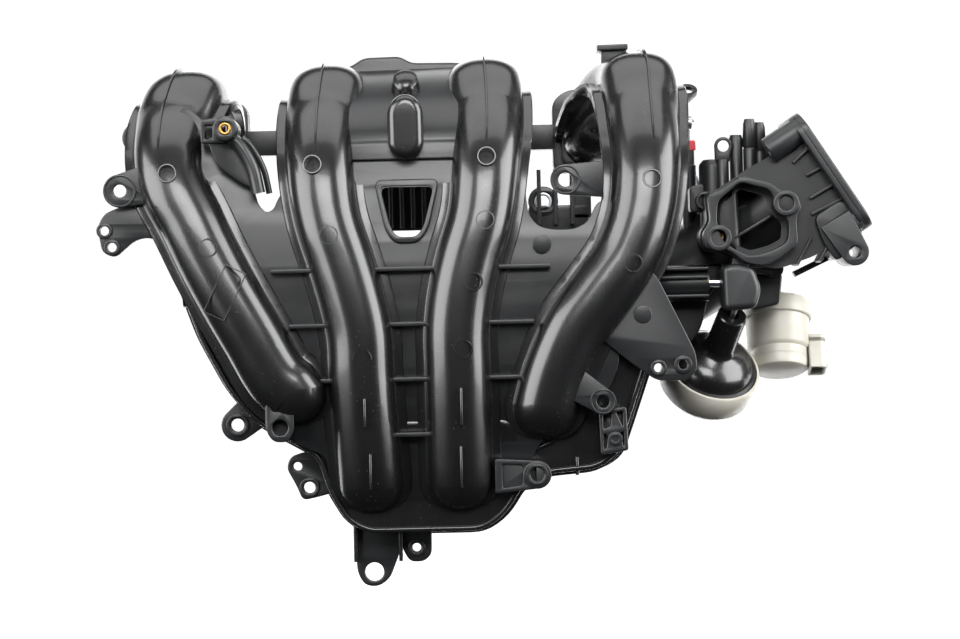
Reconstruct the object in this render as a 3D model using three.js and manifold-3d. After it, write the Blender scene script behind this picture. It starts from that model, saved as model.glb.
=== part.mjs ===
// Intake manifold for an inline four: welded glass-filled nylon shells around four runners
// and a plenum, a head flange with swirl flaps, a second flap shaft in the plenum, a throttle
// duct with an exhaust-return pad, and two vacuum actuators.
// Millimetres. The origin is the centre of the cylinder-head mounting face. The face looks
// along +Y, +Z is up and +X points to the throttle side.
import * as THREE from "three";
import { mergeVertices } from "three/addons/utils/BufferGeometryUtils.js";
import Module from "manifold-3d";

const wasm = await Module();
wasm.setup();

// ---------------------------------------------------------------- driving dimensions
const CYLINDER_PITCH = 96;
const GAP = 0.3;
const WALL = 3;

const FLANGE_THICK = 24;
const RUNNER_WIDTH = 50;
const RUNNER_DEPTH = 48;
const WELD_HALF = 2.4;
const WELD_REACH = 31;

const SHEET_Y = -142;
const PLENUM_SPLIT_Y = -85;
const PLENUM_BACK_Y = -26;

const SWIRL_Y = -18;
const SWIRL_Z = 0;
const TUNING_Y = -112;
const TUNING_Z = -110;
const SHAFT_RADIUS = 3;

const DUCT_RADIUS = 33;
const DUCT_BORE = 29;
const THROTTLE_CENTRE = new THREE.Vector3(299, -92, -36);
const THROTTLE_NORMAL = new THREE.Vector3(0.84, 0, 0.54).normalize();

const DOME_CENTRE = new THREE.Vector3(218, -76, -172);
const DOME_AXIS = new THREE.Vector3(0.24, -0.68, 0.69).normalize();
const CANISTER_CENTRE = new THREE.Vector3(270, -40, -136);
const CANISTER_AXIS = new THREE.Vector3(0, 0.34, 0.94).normalize();

// ---------------------------------------------------------------- materials
function finish(colour, roughness, metalness) {
  return new THREE.MeshStandardMaterial({ color: colour, roughness, metalness });
}
const blackNylon = finish(0x17181a, 0.28, 0);
const ductNylon = finish(0x1f2022, 0.5, 0);
const rubber = finish(0x26282a, 0.8, 0);
const brass = finish(0xb98a45, 0.35, 1);
const steel = finish(0xa9acb0, 0.35, 1);
const aluminium = finish(0xb9bcc0, 0.4, 1);
const cream = finish(0xe3e0d4, 0.5, 0);
const redCap = finish(0xb3242a, 0.5, 0);

// ---------------------------------------------------------------- solids
function solid(geometry) {
  const bare = geometry.clone();
  bare.deleteAttribute("normal");
  bare.deleteAttribute("uv");
  const merged = mergeVertices(bare, 1e-4);
  const mesh = new wasm.Mesh({
    numProp: 3,
    vertProperties: new Float32Array(merged.attributes.position.array),
    triVerts: new Uint32Array(merged.index.array),
  });
  return new wasm.Manifold(mesh);
}

function join(parts) {
  return parts.reduce((sum, part) => sum.add(part));
}

function cut(base, tools) {
  return tools.reduce((rest, tool) => rest.subtract(tool), base);
}

function geometryOf(shape) {
  const mesh = shape.getMesh();
  const geometry = new THREE.BufferGeometry();
  geometry.setAttribute("position", new THREE.BufferAttribute(new Float32Array(mesh.vertProperties), 3));
  geometry.setIndex(new THREE.BufferAttribute(new Uint32Array(mesh.triVerts), 1));
  geometry.computeVertexNormals();
  return geometry;
}

const manifold = new THREE.Group();

function piece(name, shape, material, parent = manifold) {
  const mesh = new THREE.Mesh(geometryOf(shape), material);
  mesh.name = name;
  parent.add(mesh);
  return mesh;
}

// An outline in the XZ plane, with its corners rounded.
function outline(points, radius = 0) {
  const corners = points.map(([x, z]) => new THREE.Vector2(x, z));
  const shape = new THREE.Shape();
  corners.forEach((corner, i) => {
    const before = corners[(i + corners.length - 1) % corners.length];
    const after = corners[(i + 1) % corners.length];
    const reach = Math.min(radius, corner.distanceTo(before) * 0.45, corner.distanceTo(after) * 0.45);
    const start = corner.clone().add(before.clone().sub(corner).setLength(reach));
    const end = corner.clone().add(after.clone().sub(corner).setLength(reach));
    if (i === 0) shape.moveTo(start.x, start.y);
    else shape.lineTo(start.x, start.y);
    if (radius > 0) shape.quadraticCurveTo(corner.x, corner.y, end.x, end.y);
  });
  shape.closePath();
  return shape;
}

function inset(points, distance) {
  const area = points.reduce((sum, [x, z], i) => {
    const [nextX, nextZ] = points[(i + 1) % points.length];
    return sum + x * nextZ - nextX * z;
  }, 0);
  const turn = Math.sign(area);
  return points.map(([x, z], i) => {
    const [beforeX, beforeZ] = points[(i + points.length - 1) % points.length];
    const [afterX, afterZ] = points[(i + 1) % points.length];
    const into = new THREE.Vector2(x - beforeX, z - beforeZ).normalize();
    const out = new THREE.Vector2(afterX - x, afterZ - z).normalize();
    const normal = new THREE.Vector2(-into.y - out.y, into.x + out.x).normalize();
    const slant = Math.max(0.5, normal.x * -into.y + normal.y * into.x);
    return [x + (turn * normal.x * distance) / slant, z + (turn * normal.y * distance) / slant];
  });
}

// A plate in the XZ plane between two depths.
function plate(shape, front, back, segments = 4) {
  const geometry = new THREE.ExtrudeGeometry(shape, {
    depth: back - front, bevelEnabled: false, curveSegments: segments,
  });
  geometry.rotateX(Math.PI / 2);
  geometry.translate(0, back, 0);
  return solid(geometry);
}

function slab(points, front, back, radius = 0) {
  return plate(outline(points, radius), front, back, 2);
}

// A round pin along Y.
function pin(x, z, radius, front, back, sides = 12) {
  const geometry = new THREE.CylinderGeometry(radius, radius, back - front, sides);
  geometry.translate(x, (front + back) / 2, z);
  return solid(geometry);
}

// A round bar along X.
function bar(left, right, y, z, radius, sides = 12) {
  const geometry = new THREE.CylinderGeometry(radius, radius, right - left, sides);
  geometry.rotateZ(Math.PI / 2);
  geometry.translate((left + right) / 2, y, z);
  return solid(geometry);
}

// A round post along Z.
function post(x, y, radius, bottom, top, sides = 12, upper = radius) {
  const geometry = new THREE.CylinderGeometry(upper, radius, top - bottom, sides);
  geometry.rotateX(Math.PI / 2);
  geometry.translate(x, y, (bottom + top) / 2);
  return solid(geometry);
}

function block(x0, x1, y0, y1, z0, z1) {
  const geometry = new THREE.BoxGeometry(x1 - x0, y1 - y0, z1 - z0);
  geometry.translate((x0 + x1) / 2, (y0 + y1) / 2, (z0 + z1) / 2);
  return solid(geometry);
}

// A turned part from [radius, height] pairs, its axis along local Y.
function turned(profile, sides = 32) {
  const points = profile.map(([radius, height]) => new THREE.Vector2(radius, height));
  return solid(new THREE.LatheGeometry(points, sides));
}

function sweep(points, shape, steps, segments = 8) {
  const path = new THREE.CatmullRomCurve3(points, false, "centripetal");
  return solid(new THREE.ExtrudeGeometry(shape, { steps, extrudePath: path, curveSegments: segments }));
}

function disc(radius) {
  const shape = new THREE.Shape();
  shape.absarc(0, 0, radius, 0, Math.PI * 2);
  return shape;
}

function ovalSection(width, height) {
  const w = width / 2;
  const h = height / 2;
  return outline([
    [-w, -h * 0.4], [-w * 0.5, -h], [w * 0.5, -h], [w, -h * 0.4],
    [w, h * 0.4], [w * 0.5, h], [-w * 0.5, h], [-w, h * 0.4],
  ]);
}

// A shape whose local +Y is turned to a direction and whose origin is moved to a place.
function placed(shape, origin, direction) {
  const turn = new THREE.Quaternion().setFromUnitVectors(
    new THREE.Vector3(0, 1, 0), direction.clone().normalize());
  const matrix = new THREE.Matrix4().compose(origin, turn, new THREE.Vector3(1, 1, 1));
  return shape.transform(matrix.toArray());
}

function spot(x, y, z) {
  return new THREE.Vector3(x, y, z);
}

// A flat lug with a round end: a strip from an anchor to a hole.
function lug(x, z, anchorX, anchorZ, radius, front, back) {
  const along = new THREE.Vector2(anchorX - x, anchorZ - z);
  const side = new THREE.Vector2(-along.y, along.x).setLength(radius * 0.97);
  const strip = slab([
    [x + side.x, z + side.y], [x - side.x, z - side.y],
    [anchorX - side.x * 1.15, anchorZ - side.y * 1.15], [anchorX + side.x * 1.15, anchorZ + side.y * 1.15],
  ], front, back);
  return join([pin(x, z, radius, front, back), strip]);
}

// ---------------------------------------------------------------- runners
// Side profile of every runner, as [depth, height], from the head over the crest and down.
const sideProfile = [
  [-FLANGE_THICK - GAP, 0], [-36, 2], [-52, 13], [-76, 22], [-104, 17], [-129, -3],
  [-140, -30], [SHEET_Y, -60], [SHEET_Y, -90], [SHEET_Y, -115], [SHEET_Y, -140], [SHEET_Y, -170],
];
// Sideways place of each runner at each of those stations, and how low it runs before it turns
// back into the plenum.
const runners = [
  { x: [-144, -144, -144, -146, -152, -158, -157, -143, -129, -116, -102, -85], end: -66, low: -196 },
  { x: [-48, -48, -48, -48, -50, -53, -53, -49, -40, -33, -28, -27], end: -24, low: -240 },
  { x: [48, 48, 52, 60, 62, 63, 61, 57, 48, 42, 39, 39], end: 41, low: -240 },
  { x: [144, 144, 152, 166, 171, 172, 172, 168, 157, 139, 120, 106], end: 101, low: -196 },
];
const portXs = [-1.5, -0.5, 0.5, 1.5].map((n) => n * CYLINDER_PITCH);

function runnerPath(runner, tail) {
  const points = sideProfile.map(([y, z], i) => spot(runner.x[i], y, z));
  points.push(spot(runner.end, SHEET_Y + 2, (runner.low - 170) / 2 - 4));
  points.push(spot(runner.end, SHEET_Y + 13, runner.low - 6));
  points.push(spot(runner.end, SHEET_Y + 38, runner.low - 16));
  if (tail) points.push(spot(runner.end, SHEET_Y + 52, runner.low - 17));
  else points.push(spot(runner.end, SHEET_Y + 46, runner.low - 17));
  return points;
}

const runnerSteps = 13;
const runnerBodies = runners.map((runner) => sweep(runnerPath(runner, false),
  ovalSection(RUNNER_WIDTH, RUNNER_DEPTH), runnerSteps));
const runnerBores = runners.map((runner) => sweep(runnerPath(runner, true),
  ovalSection(RUNNER_WIDTH - 2 * WALL, RUNNER_DEPTH - 2 * WALL), runnerSteps));
const portLeads = portXs.map((x) => block(x - 20, x + 20, -30, -FLANGE_THICK + 1, -17, 17));
const portNecks = portXs.map((x) => block(x - 27, x + 27, -32, -FLANGE_THICK - GAP, -22, 22));

// The weld sheet runs through the runners' centre line. Everything in front of it is the
// front shell, everything behind it the middle shell.
function profileSolid(points, left, right) {
  const shape = new THREE.Shape(points.map(([y, z]) => new THREE.Vector2(y, z)));
  const geometry = new THREE.ExtrudeGeometry(shape, { depth: right - left, bevelEnabled: false });
  const axes = new THREE.Matrix4().makeBasis(spot(0, 1, 0), spot(0, 0, 1), spot(1, 0, 0));
  geometry.applyMatrix4(axes);
  geometry.translate(left, 0, 0);
  return solid(geometry);
}

const SIDE_LIMIT = 260;
const curvedSheet = [
  [-FLANGE_THICK - GAP, 0], [-36, 2], [-54, 14], [-76, 22], [-104, 17], [-129, -3], [SHEET_Y, -42],
  [SHEET_Y, -330],
];
const region = profileSolid([...curvedSheet, [-240, -330], [-240, 120], [-FLANGE_THICK - GAP, 120]],
  -SIDE_LIMIT, SIDE_LIMIT);
const inFront = region.translate(0, -GAP / 2, GAP / 2);
const behind = region.translate(0, GAP / 2, -GAP / 2);

function sheetNormal(i) {
  const before = curvedSheet[Math.max(0, i - 1)];
  const after = curvedSheet[Math.min(curvedSheet.length - 1, i + 1)];
  return new THREE.Vector2(after[1] - before[1], before[0] - after[0]).normalize();
}
const upperFace = curvedSheet.map(([y, z], i) => {
  const normal = sheetNormal(i);
  return [y + normal.x * WELD_HALF, z + normal.y * WELD_HALF];
});
const lowerFace = curvedSheet.map(([y, z], i) => {
  const normal = sheetNormal(i);
  return [y - normal.x * WELD_HALF, z - normal.y * WELD_HALF];
});
const weldSlab = profileSolid([...upperFace, ...lowerFace.reverse()], -SIDE_LIMIT, SIDE_LIMIT);

// Where the weld sheet is present, seen from the front.
const stripZ = [60, 0, -60, -90, -140, -200];
const stripStation = [3, 5, 7, 8, 10, 11];
const strips = runners.map((runner) => {
  const right = stripZ.map((z, i) => [runner.x[stripStation[i]] + WELD_REACH, z]);
  const left = stripZ.map((z, i) => [runner.x[stripStation[i]] - WELD_REACH, z]);
  return slab([...right, ...left.reverse()], -190, -FLANGE_THICK - GAP);
});

const webs = [
  // between runners 1 and 2, below the open V
  slab([[-140, 0], [-118, -6], [-104, -20], [-94, -52], [-86, -52], [-60, -30], [-30, -120],
    [-30, -225], [-62, -222], [-102, -178], [-140, -120]], -190, -100),
  // between runners 2 and 3, from the head flange down
  slab([[-60, 60], [66, 60], [66, -60], [40, -130], [40, -230], [-30, -230], [-30, -130], [-60, -60]],
    -190, -FLANGE_THICK - GAP),
  // between runners 3 and 4, below the open gap
  slab([[40, -60], [90, -64], [104, -74], [124, -74], [150, -60], [150, -110], [106, -170], [106, -215],
    [40, -225]], -190, -100),
];
const window23 = slab([[-12, -40], [26, -40], [17, -73], [-2, -73]], -200, -20, 5);

// The plenum seen from the front: the lower part of the weld sheet follows it too.
const plenumOutline = [
  [-158, -84], [-151, -108], [-139, -142], [-120, -178], [-102, -200], [-78, -214], [-60, -224],
  [-52, -250], [-40, -270], [-26, -278], [54, -278], [70, -267], [82, -248], [98, -240], [134, -237],
  [148, -228], [156, -206], [170, -166], [178, -122], [176, -84], [60, -88], [-40, -88],
];
const plenumFace = slab(plenumOutline, -190, -60);
const weldSheet = weldSlab.intersect(join([...strips, ...webs, plenumFace])).subtract(window23);

// ---------------------------------------------------------------- front shell
const ribLevels = [-96, -134, -172];
const ribs12 = ribLevels.map((z) => block(-110 - z / 4 - 60, -48, -154, SHEET_Y, z - 1.5, z + 1.5));
const ribs23 = [...ribLevels, -210].map((z) => block(-24, 32, -154, SHEET_Y, z - 1.5, z + 1.5));
const ribs34 = ribLevels.map((z) => block(60, 112, -154, SHEET_Y, z - 1.5, z + 1.5));
const bowlRim = slab([[-60, -222], [-52, -250], [-40, -270], [-26, -278], [54, -278], [70, -267],
  [82, -248], [90, -226]], -152, SHEET_Y);

const insertBoss = { x: -116, z: 2 };
const frontLugs = [
  lug(-191, -38, -170, -34, 11.5, -146, SHEET_Y),
  lug(116, -37, 140, -37, 10.5, -146, SHEET_Y),
  lug(89, -240, 70, -232, 10, -150, SHEET_Y),
  lug(-83, -204, -83, -180, 9.5, -158, SHEET_Y),
  lug(138, -191, 122, -180, 9, -158, SHEET_Y),
  lug(195, -168, 160, -160, 7.5, -148, SHEET_Y),
  slab([[170, -108], [204, -164], [196, -176], [160, -168], [128, -142]], -147, SHEET_Y, 4),
];
const bossColumn = join([
  pin(insertBoss.x, insertBoss.z, 8, -166, -128),
  slab([[-132, 8], [-110, 10], [-96, -34], [-112, -30], [-130, -10]], -138, -118, 3),
]);
const frontHoles = [
  pin(-191, -38, 4.2, -200, -100), pin(116, -37, 4.6, -200, -100), pin(89, -240, 4.2, -200, -100),
  pin(-83, -204, 5.2, -200, -150), pin(138, -191, 4.2, -200, -150), pin(195, -168, 3.4, -200, -100),
  pin(178, -171, 3, -200, -100), pin(insertBoss.x, insertBoss.z, 4.5, -200, -150),
];
const latticeBracket = cut(block(134, 154, -150, SHEET_Y, -226, -196), [
  block(137, 143, -160, -144, -222, -212), block(146, 151, -160, -144, -222, -212),
  block(137, 143, -160, -144, -208, -199), block(146, 151, -160, -144, -208, -199),
]);
const topTab = join([
  block(140, 160, -84, -64, 44, 56), block(137, 158, -88, -62, 56, 60),
]);

const frontBase = join([...runnerBodies, ...portNecks, weldSheet, ...ribs12, ...ribs23, ...ribs34, bowlRim,
  ...frontLugs, bossColumn, latticeBracket, topTab]).intersect(inFront);
const headSpace = block(-300, 300, -FLANGE_THICK - GAP, 50, -90, 90);
const frontShell = cut(frontBase, [...runnerBores, ...portLeads, ...frontHoles, headSpace]);
piece("front_shell", frontShell, blackNylon);

// ---------------------------------------------------------------- throttle duct, its run
const ductPath = [
  spot(166, -60, -120), spot(190, -60, -112), spot(220, -64, -94), spot(252, -78, -68),
  THROTTLE_CENTRE.clone().addScaledVector(THROTTLE_NORMAL, -12),
  THROTTLE_CENTRE.clone().addScaledVector(THROTTLE_NORMAL, 6),
];
const ductOuter = sweep(ductPath, disc(DUCT_RADIUS), 6);
const ductEnds = [
  spot(150, -60, -125), ...ductPath, THROTTLE_CENTRE.clone().addScaledVector(THROTTLE_NORMAL, 16),
];
const ductBore = sweep(ductEnds, disc(DUCT_BORE), 7);
const ductSocket = sweep(ductPath, disc(DUCT_RADIUS + 2 * GAP), 6);

// ---------------------------------------------------------------- middle shell
const plenumInner = slab(inset(plenumOutline, WALL + 0.5), SHEET_Y + 2 * WALL, PLENUM_SPLIT_Y + 20);
const plenumFront = slab(plenumOutline, SHEET_Y - 2, PLENUM_SPLIT_Y - GAP / 2);
const LIP_OUT = 4;
const plenumLip = slab(inset(plenumOutline, -LIP_OUT), PLENUM_SPLIT_Y - LIP_OUT, PLENUM_SPLIT_Y - GAP / 2);
const middleLugs = [
  slab([[-206, -62], [-196, -50], [-170, -42], [-150, -60], [-150, -82], [-172, -70], [-186, -74],
    [-198, -84], [-204, -80]], -139, -131, 4),
  lug(-116, -202, -96, -190, 11.5, -114, -106),
  slab([[-82, -228], [-76, -223], [-54, -224], [-48, -250], [-64, -252], [-74, -254]], -109, -101, 3),
  slab([[-36, -272], [-3, -272], [-3, -302], [-13, -318], [-34, -318]], -104, -96, 6),
  slab([[-4, -272], [18, -272], [16, -299], [-2, -301]], -104, -96, 6),
];
const middleHoles = [
  pin(-204, -66, 3.4, -160, -90), pin(-199, -77, 3.4, -160, -90), pin(-180, -58, 3.4, -160, -90),
  pin(-116, -202, 4.5, -160, -90), pin(-75, -240, 3.5, -160, -80), pin(-68, -246, 3.8, -120, -80),
  pin(-23, -309, 6.5, -120, -80), pin(6, -291, 3, -120, -80),
];
const tuningBoss = bar(165, 216, TUNING_Y, TUNING_Z, 12);
const tuningFoot = bar(-152, -134, TUNING_Y, TUNING_Z, 9);
const tuningWindows = [0, 1, 2, 3].map((i) => {
  const x = (runners[i].x[8] + runners[i].x[9]) / 2;
  return block(x - 14, x + 14, -128, -100, TUNING_Z - 11, TUNING_Z + 11);
});
const middleShellWalls = join([plenumFront, plenumLip]).subtract(plenumInner);
const middleSolid = cut(join([middleShellWalls, ...runnerBodies, weldSheet, ...middleLugs, tuningBoss,
  tuningFoot, ...portNecks]), [behind]);
const middleShell = cut(middleSolid, [
  ...runnerBores, ...portLeads, ...tuningWindows, ...middleHoles,
  bar(-146, 230, TUNING_Y, TUNING_Z, SHAFT_RADIUS + 2 + GAP), ductSocket,
  headSpace,
  block(-300, 300, PLENUM_SPLIT_Y - 0.1, 50, -330, -86),
]);
piece("middle_shell", middleShell, blackNylon);

// ---------------------------------------------------------------- rear shell
// The tray steps inwards once, to a smaller back.
const rearStep = -46;
const rearStepIn = 14;
const rearOuter = join([
  slab(inset(plenumOutline, -LIP_OUT), PLENUM_SPLIT_Y + GAP / 2, PLENUM_SPLIT_Y + LIP_OUT),
  slab(plenumOutline, PLENUM_SPLIT_Y + GAP / 2, rearStep),
  slab(inset(plenumOutline, rearStepIn), rearStep, PLENUM_BACK_Y),
  ...[-172, -222].map((z) => block(-60, 76, -30, PLENUM_BACK_Y + 3, z, z + 6)),
]);
const rearInner = join([
  slab(inset(plenumOutline, WALL + 0.5), PLENUM_SPLIT_Y - 10, rearStep - WALL),
  slab(inset(plenumOutline, rearStepIn + WALL), rearStep - WALL - 1, PLENUM_BACK_Y - WALL),
]);

const rearShell = cut(rearOuter, [rearInner, ductSocket]);
piece("rear_shell", rearShell, blackNylon);

// ---------------------------------------------------------------- throttle duct
// The plate the throttle bolts to, square to the duct, in its own frame: local +Y is its normal.
const PLATE_HALF = 47;
const BOLT_HALF = 36;
const throttleBolts = [[-1, -1], [1, -1], [-1, 1], [1, 1]].map(([a, b]) => [a * BOLT_HALF, b * BOLT_HALF]);
function onThrottle(shape) {
  const turn = Math.atan2(-THROTTLE_NORMAL.z, THROTTLE_NORMAL.x) / Math.PI * 180;
  return shape.rotate([0, turn, 0]).translate(THROTTLE_CENTRE.toArray());
}
function acrossThrottle(a, b, radius, from, to, sides = 12) {
  return onThrottle(bar(from, to, a, b, radius, sides));
}
const plateBlank = onThrottle(join([
  block(-6, 6, -PLATE_HALF, PLATE_HALF, -PLATE_HALF + 8, PLATE_HALF - 8),
  block(-6, 6, -PLATE_HALF + 8, PLATE_HALF - 8, -PLATE_HALF, PLATE_HALF),
  ...throttleBolts.map(([a, b]) => bar(-16, 6, a, b, 8.5, 10)),
]));
const throttleTab = lug(315, -90, 306, -66, 9.5, -96, -88);

// The exhaust-return pad on the front of the duct.
const PAD_FRONT = -140;
const padBolts = [[268, -56], [221, -79]];
const padBody = join([
  slab([[211, -50], [226, -42], [246, -40], [262, -46], [276, -60], [272, -78], [252, -94], [234, -94],
    [212, -86]], PAD_FRONT, -84, 6),
  ...padBolts.map(([x, z]) => pin(x, z, 8.5, PAD_FRONT - 3, -88)),
]);
const padPocket = slab([[228, -56], [240, -50], [254, -54], [260, -66], [254, -80], [238, -84], [228, -72]],
  PAD_FRONT - 10, PAD_FRONT + 10, 4);
const padPassage = pin(244, -67, 10, PAD_FRONT, -80);

const nipples = {
  tall: post(250, -84, 5, -70, 6),
  short: post(238, -84, 4.2, -80, -6),
  valve: post(222, -90, 9, -82, -34, 16, 8),
  small: post(206, -76, 4.2, -96, -14),
};
const nippleBores = [
  post(250, -84, 2.8, -80, 10), post(238, -84, 2.4, -90, 0), post(206, -76, 2.4, -104, 0),
];
const ductRibs = [0, 1, 2].map((i) => block(262 + i * 9, 265 + i * 9, -120, -64, -86 + i * 8, -52 + i * 8));

const ductSolid = join([
  ductOuter, plateBlank, throttleTab, padBody, nipples.tall, nipples.short, nipples.small, nipples.valve,
  ...ductRibs,
]);
const throttleSealGroove = onThrottle(turned([[33, -6], [36.5, -6], [36.5, 7], [33, 7], [33, -6]], 24)
  .rotate([0, 0, -90]).translate([9, 0, 0]));
const throttleDuct = cut(ductSolid, [
  ductBore, padPocket, padPassage, ...nippleBores,
  ...padBolts.map(([x, z]) => pin(x, z, 4.5, -160, -100)),
  ...throttleBolts.map(([a, b]) => acrossThrottle(a, b, 4.2 + GAP, -8, 20)),
  pin(315, -90, 4.2, -120, -60), throttleSealGroove,
]);
piece("throttle_duct", throttleDuct, ductNylon);
throttleBolts.forEach(([a, b], i) => {
  const ring = cut(bar(-7, 5.8, a, b, 4.2, 14), [bar(-20, 20, a, b, 2.6, 10)]);
  piece(`throttle_insert_${i + 1}`, onThrottle(ring), brass);
});
const sealRing = turned([[33.3, 0], [36.2, 0], [36.2, 2.8], [33.3, 2.8], [33.3, 0]], 24);
piece("throttle_seal", onThrottle(sealRing.rotate([0, 0, -90]).translate([3.3, 0, 0])), rubber);

// ---------------------------------------------------------------- head flange
const HEAD_BACK = -FLANGE_THICK;
const headBolts = [[-192, 6], [-144, -34], [-48, -34], [0, 38], [48, -34], [103, -47], [189, 14]];
const headOutline = join([
  ...portXs.map((x) => slab([[x - 33, -26], [x + 33, -26], [x + 33, 26], [x + 22, 34], [x - 22, 34],
    [x - 33, 26]], HEAD_BACK, 0, 6)),
  block(-190, 186, HEAD_BACK, 0, -9, 9),
  block(-60, 60, HEAD_BACK, -6, 22, 40),
  ...headBolts.map(([x, z]) => pin(x, z, 11, HEAD_BACK, 0)),
  // lower rails behind the window and the right gap, each hung from the port blocks
  block(-30, 30, HEAD_BACK, -12, -66, -20), block(92, 136, HEAD_BACK, -8, -70, -50),
  block(124, 138, HEAD_BACK, -8, -60, -20),
]);
const portOpenings = portXs.map((x) => slab([[x - 20, -19], [x + 20, -19], [x + 20, 19], [x - 20, 19]],
  HEAD_BACK - 5, 5, 6));
const sealGrooves = portXs.map((x) => cut(
  slab([[x - 27, -24], [x + 27, -24], [x + 27, 24], [x - 27, 24]], -3, 4, 9),
  [slab([[x - 23.5, -20.8], [x + 23.5, -20.8], [x + 23.5, 20.8], [x - 23.5, 20.8]], -5, 6, 7)]));
const headFlange = cut(headOutline, [
  ...portOpenings, ...sealGrooves,
  ...headBolts.map(([x, z]) => pin(x, z, 6.6 + GAP, -60, 10)),
  bar(-177, 240, SWIRL_Y, SWIRL_Z, SHAFT_RADIUS + GAP),
  bar(-177, -171, SWIRL_Y, SWIRL_Z, 5.3), bar(180, 240, SWIRL_Y, SWIRL_Z, 5.3),
]);
piece("head_flange", headFlange, blackNylon);
portXs.forEach((x, i) => {
  const seal = cut(
    slab([[x - 26.7, -23.7], [x + 26.7, -23.7], [x + 26.7, 23.7], [x - 26.7, 23.7]], -2.7, 0, 9),
    [slab([[x - 23.8, -21.1], [x + 23.8, -21.1], [x + 23.8, 21.1], [x - 23.8, 21.1]], -5, 6, 7)]);
  piece(`port_seal_${i + 1}`, seal, rubber);
});
headBolts.forEach(([x, z], i) => {
  const sleeve = cut(pin(x, z, 6.6, HEAD_BACK, 0, 12), [pin(x, z, 4.2, -60, 10, 10)]);
  piece(`head_sleeve_${i + 1}`, sleeve, steel);
});

// ---------------------------------------------------------------- flap shafts
// Each shaft turns about X; its group stands on the axis.
function flapShaft(name, y, z, left, right, plateXs, plateWidth, plateHeight, cutHole) {
  const group = new THREE.Group();
  group.position.set(0, y, z);
  manifold.add(group);
  const slots = plateXs.map((x) => block(x - plateWidth / 2 - GAP, x + plateWidth / 2 + GAP,
    -0.75 - GAP, 0.75 + GAP, -SHAFT_RADIUS - 1, SHAFT_RADIUS + 1));
  const flats = plateXs.map((x) => block(x - plateWidth / 2 - GAP, x + plateWidth / 2 + GAP,
    0, SHAFT_RADIUS + 1, -SHAFT_RADIUS - 1, SHAFT_RADIUS + 1));
  const shaft = cut(bar(left, right, 0, 0, SHAFT_RADIUS, 12), [...slots, ...flats]);
  plateXs.forEach((x, i) => {
    const half = plateHeight / 2;
    const flap = block(x - plateWidth / 2, x + plateWidth / 2, -0.75, 0.75, -half, half);
    piece(`${name}_plate_${i + 1}`, cutHole ? cut(flap, [cutHole(x)]) : flap, aluminium, group);
  });
  return { group, shaft };
}

// A crank web and pin on a shaft's end. The pin stands at a radius along an angle in the YZ plane.
function crank(right, radius, angle, pinLength) {
  const y = radius * Math.cos(angle);
  const z = radius * Math.sin(angle);
  const web = join([
    bar(right - 3, right, 0, 0, 6, 14), bar(right - 3, right, y, z, 4, 12),
    profileSolid([[-Math.sin(angle) * 4, Math.cos(angle) * 4],
      [y - Math.sin(angle) * 3.6, z + Math.cos(angle) * 3.6],
      [y + Math.sin(angle) * 3.6, z - Math.cos(angle) * 3.6],
      [Math.sin(angle) * 4, -Math.cos(angle) * 4]], right - 3, right),
  ]);
  return join([web, bar(right - 1, right + pinLength, y, z, 2, 10)]);
}

const CRANK_RADIUS = 12;
const swirl = flapShaft("swirl", SWIRL_Y, SWIRL_Z, -170, 206, portXs, 37, 33,
  (x) => block(x - 9, x + 9, -5, 5, 9, 20));
const swirlCrankAngle = THREE.MathUtils.degToRad(123);
const swirlShaft = join([swirl.shaft, crank(208, CRANK_RADIUS, swirlCrankAngle, 6)]);
piece("swirl_shaft", swirlShaft, steel, swirl.group);
const tuningXs = runners.map((runner) => (runner.x[8] + runner.x[9]) / 2);
const tuning = flapShaft("tuning", TUNING_Y, TUNING_Z, -143, 225, tuningXs, 24, 20, null);
const tuningCrankAngle = THREE.MathUtils.degToRad(-172);
const tuningShaft = join([tuning.shaft, crank(228, CRANK_RADIUS, tuningCrankAngle, 7)]);
piece("tuning_shaft", tuningShaft, steel, tuning.group);

function bush(name, left, right, y, z) {
  const ring = cut(bar(left, right, y, z, 5, 16), [bar(left - 1, right + 1, y, z, SHAFT_RADIUS + GAP, 12)]);
  piece(name, ring, brass);
}
bush("swirl_bush", 181, 194, SWIRL_Y, SWIRL_Z);
bush("tuning_bush", 202, 216, TUNING_Y, TUNING_Z);
bush("tuning_foot_bush", -145.6, -135, TUNING_Y, TUNING_Z);

// ---------------------------------------------------------------- first actuator
// A domed vacuum can that turns the tuning shaft. Local +Y runs up the stem, and y = 0 is the
// crimped joint between the black dome and the cream cup.
function turnedGroup(centre, axis) {
  const group = new THREE.Group();
  group.position.copy(centre);
  group.quaternion.setFromUnitVectors(spot(0, 1, 0), axis);
  manifold.add(group);
  return group;
}
const dome = turnedGroup(DOME_CENTRE, DOME_AXIS);
const stemBore = 4.5;
const domeHousing = turned([
  [29, 0.3], [32.5, 0.3], [32.5, 5], [29, 7], [27, 13], [20, 19], [11, 22], [9.5, 26], [9.5, 56],
  [stemBore, 56], [stemBore, 22], [17, 16.5], [24.5, 11], [29, 3], [29, 0.3],
], 28);
piece("dome_housing", domeHousing, blackNylon, dome);
const cupProfile = [
  [2, -34], [2, -24], [20, -21], [30, -14], [31, -3], [31, -0.3], [32.8, -0.3], [32.8, 6], [34.8, 6],
  [34.8, -5], [33.5, -16], [22, -24], [4, -27], [4, -34], [2, -34],
];
piece("dome_cup", turned(cupProfile.reverse(), 28), cream, dome);
const domeRod = new THREE.Group();
dome.add(domeRod);
piece("dome_rod", join([turned([[0, 9.3], [2, 9.3], [2, 66], [0, 66]], 12),
  turned([[0, 66], [3.5, 66], [3.5, 75], [0, 75]], 12)]), steel, domeRod);
piece("dome_piston", turned([[0, 5], [8, 5], [21, 7], [23, 9], [8, 9], [0, 9]], 24), rubber, domeRod);

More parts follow.
